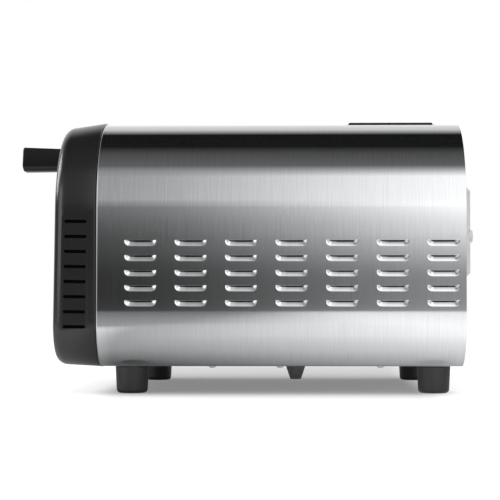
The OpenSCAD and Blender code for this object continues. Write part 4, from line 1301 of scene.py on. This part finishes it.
def floor_shade(tree, place):
    """Painted light of the floor to the eye: a painted shadow, dim below the oven and beyond its
    far side, white far off
    """
    x = add(tree, "ShaderNodeSeparateXYZ", {0: place}).outputs["X"]
    away = vectors(tree, "ABSOLUTE", vectors(tree, "SUBTRACT", place, SHADE_MIDDLE))
    out = vectors(tree, "MAXIMUM", vectors(tree, "SUBTRACT", away, SHADE_HALF), (0, 0, 0))
    pull = add(
        tree,
        "ShaderNodeCombineXYZ",
        {0: mapped(tree, x, *PULL_ACROSS), 1: mapped(tree, x, *PULL_ALONG)},
    ).outputs["Vector"]
    drawn = vectors(tree, "MULTIPLY", out, pull)
    reach = add(tree, "ShaderNodeVectorMath", {0: drawn}, operation="LENGTH").outputs["Value"]
    return mapped(tree, reach, 0, SHADE_REACH, *SHADE_LIGHT, kind="SMOOTHSTEP")


def floor_slope(tree, place):
    """Painted light of the floor to the steel: a painted reflection, brighter to the rear, with
    painted shade near the oven and beside it
    """
    axes = add(tree, "ShaderNodeSeparateXYZ", {0: place}).outputs
    x, y = axes["X"], axes["Y"]
    along = mapped(tree, y, *FLOOR_SPAN)
    front = maths(tree, "MULTIPLY", ramp(tree, along, FRONT_BANDS), mapped(tree, x, *FRONT_FADE))
    slope = maths(tree, "ADD", ramp(tree, along, FLOOR_BANDS), front)
    slope = maths(tree, "MULTIPLY", slope, mapped(tree, x, *NEAR_FADE))
    beside = maths(tree, "SUBTRACT", y, maths(tree, "MULTIPLY", x, BESIDE_SLANT))
    return maths(tree, "MULTIPLY", slope, mapped(tree, beside, *BESIDE_FADE))


def floor_material(colour):
    """Pale floor: lit and shaded near the oven, with a painted shadow added there, white far off,
    and a painted slope of light and shade that only the steel shows
    """
    material, tree, shader = new_material("Pale floor")
    seen, glossy = ray_kinds(tree)
    # Eye and metal see the floor's colour darker than the oven gets it back: painted shade, topped
    # up by the painted glow
    direct = maths(tree, "MAXIMUM", glossy, seen)
    place = add(tree, "ShaderNodeTexCoord").outputs["Object"]
    # Glow to the eye: dim round the oven as a painted shadow, white far off
    white = maths(tree, "MULTIPLY", seen, floor_shade(tree, place))
    # Glow that only gloss sees: a painted reflection of the floor, with painted shade near the oven
    # and beside it
    steel = maths(tree, "MULTIPLY", floor_slope(tree, place), glossy)
    inputs = {
        "Base Color": tinted(tree, direct, colour, 1.0, FLOOR_SEEN),
        "Roughness": 0.9,
        "Specular IOR Level": 0.0,
        "Emission Color": (1, 1, 1, 1),
        "Emission Strength": maths(tree, "ADD", white, steel),
    }
    feed(tree, shader, inputs)
    return material


def soft_lamp(name, place, aim, size, power, shown):
    """A square soft box, which gloss shows or not"""
    data = bpy.data.lights.new(name, "AREA")
    data.shape = "SQUARE"
    data.size = size
    data.energy = power
    lamp = bpy.data.objects.new(name, data)
    lamp.location = place
    lamp.rotation_mode = "QUATERNION"
    lamp.rotation_quaternion = (Vector(aim) - Vector(place)).to_track_quat("-Z", "Y")
    lamp.visible_glossy = shown
    bpy.context.scene.collection.objects.link(lamp)


class OVEN_OT_stage(bpy.types.Operator):
    """Makes the camera, the floor and the light"""

    bl_idname = "oven.stage"
    bl_label = "Stage"

    def execute(self, context):
        s = context.scene.oven_stage
        data = bpy.data.cameras.new("Camera")
        data.lens = s.lens
        data.sensor_width = 36
        camera = bpy.data.objects.new("Camera", data)
        camera.location = (WRAP_HIGH.x + s.distance, s.along, s.height)
        data.shift_x, data.shift_y = s.shift
        camera.rotation_mode = "QUATERNION"
        camera.rotation_quaternion = Vector((-1, *s.aim)).to_track_quat("-Z", "Y")
        context.scene.collection.objects.link(camera)
        context.scene.camera = camera
        bm = bmesh.new()
        bmesh.ops.create_grid(bm, x_segments=2, y_segments=2, size=FLOOR_HALF)
        floor = linked("floor", bm)
        floor.data.materials.append(floor_material(s.floor))
        studio_world()
        for lamp in LAMPS:
            soft_lamp(*lamp)
        context.scene.view_settings.view_transform = "Standard"
        return {"FINISHED"}


class OVEN_PT_panel(bpy.types.Panel):
    """Lists the steps that dress the oven"""

    bl_idname = "OVEN_PT_panel"
    bl_label = "Pizza oven"
    bl_space_type = "VIEW_3D"
    bl_region_type = "UI"
    bl_category = "Pizza oven"

    def draw(self, context):
        for step in STEPS:
            self.layout.operator(step.bl_idname)


STEPS = (
    OVEN_OT_stage,
    OVEN_OT_finishes,
    OVEN_OT_wrap,
    OVEN_OT_moulding,
    OVEN_OT_handle,
    OVEN_OT_door,
    OVEN_OT_controls,
    OVEN_OT_roof,
    OVEN_OT_rear,
    OVEN_OT_feet,
)
SETTINGS = {
    "oven_wrap": WrapSettings,
    "oven_moulding": MouldingSettings,
    "oven_door": DoorSettings,
    "oven_handle": HandleSettings,
    "oven_controls": ControlSettings,
    "oven_stage": StageSettings,
}


def register():
    for item in (*SETTINGS.values(), *STEPS, OVEN_PT_panel):
        bpy.utils.register_class(item)
    for name, group in SETTINGS.items():
        setattr(bpy.types.Scene, name, PointerProperty(type=group))


def unregister():
    for name in SETTINGS:
        delattr(bpy.types.Scene, name)
    for item in (OVEN_PT_panel, *reversed(STEPS), *SETTINGS.values()):
        bpy.utils.unregister_class(item)


def main():
    register()
    for step in STEPS:
        group, name = step.bl_idname.split(".")
        getattr(getattr(bpy.ops, group), name)()


if __name__ == "__main__":
    main()
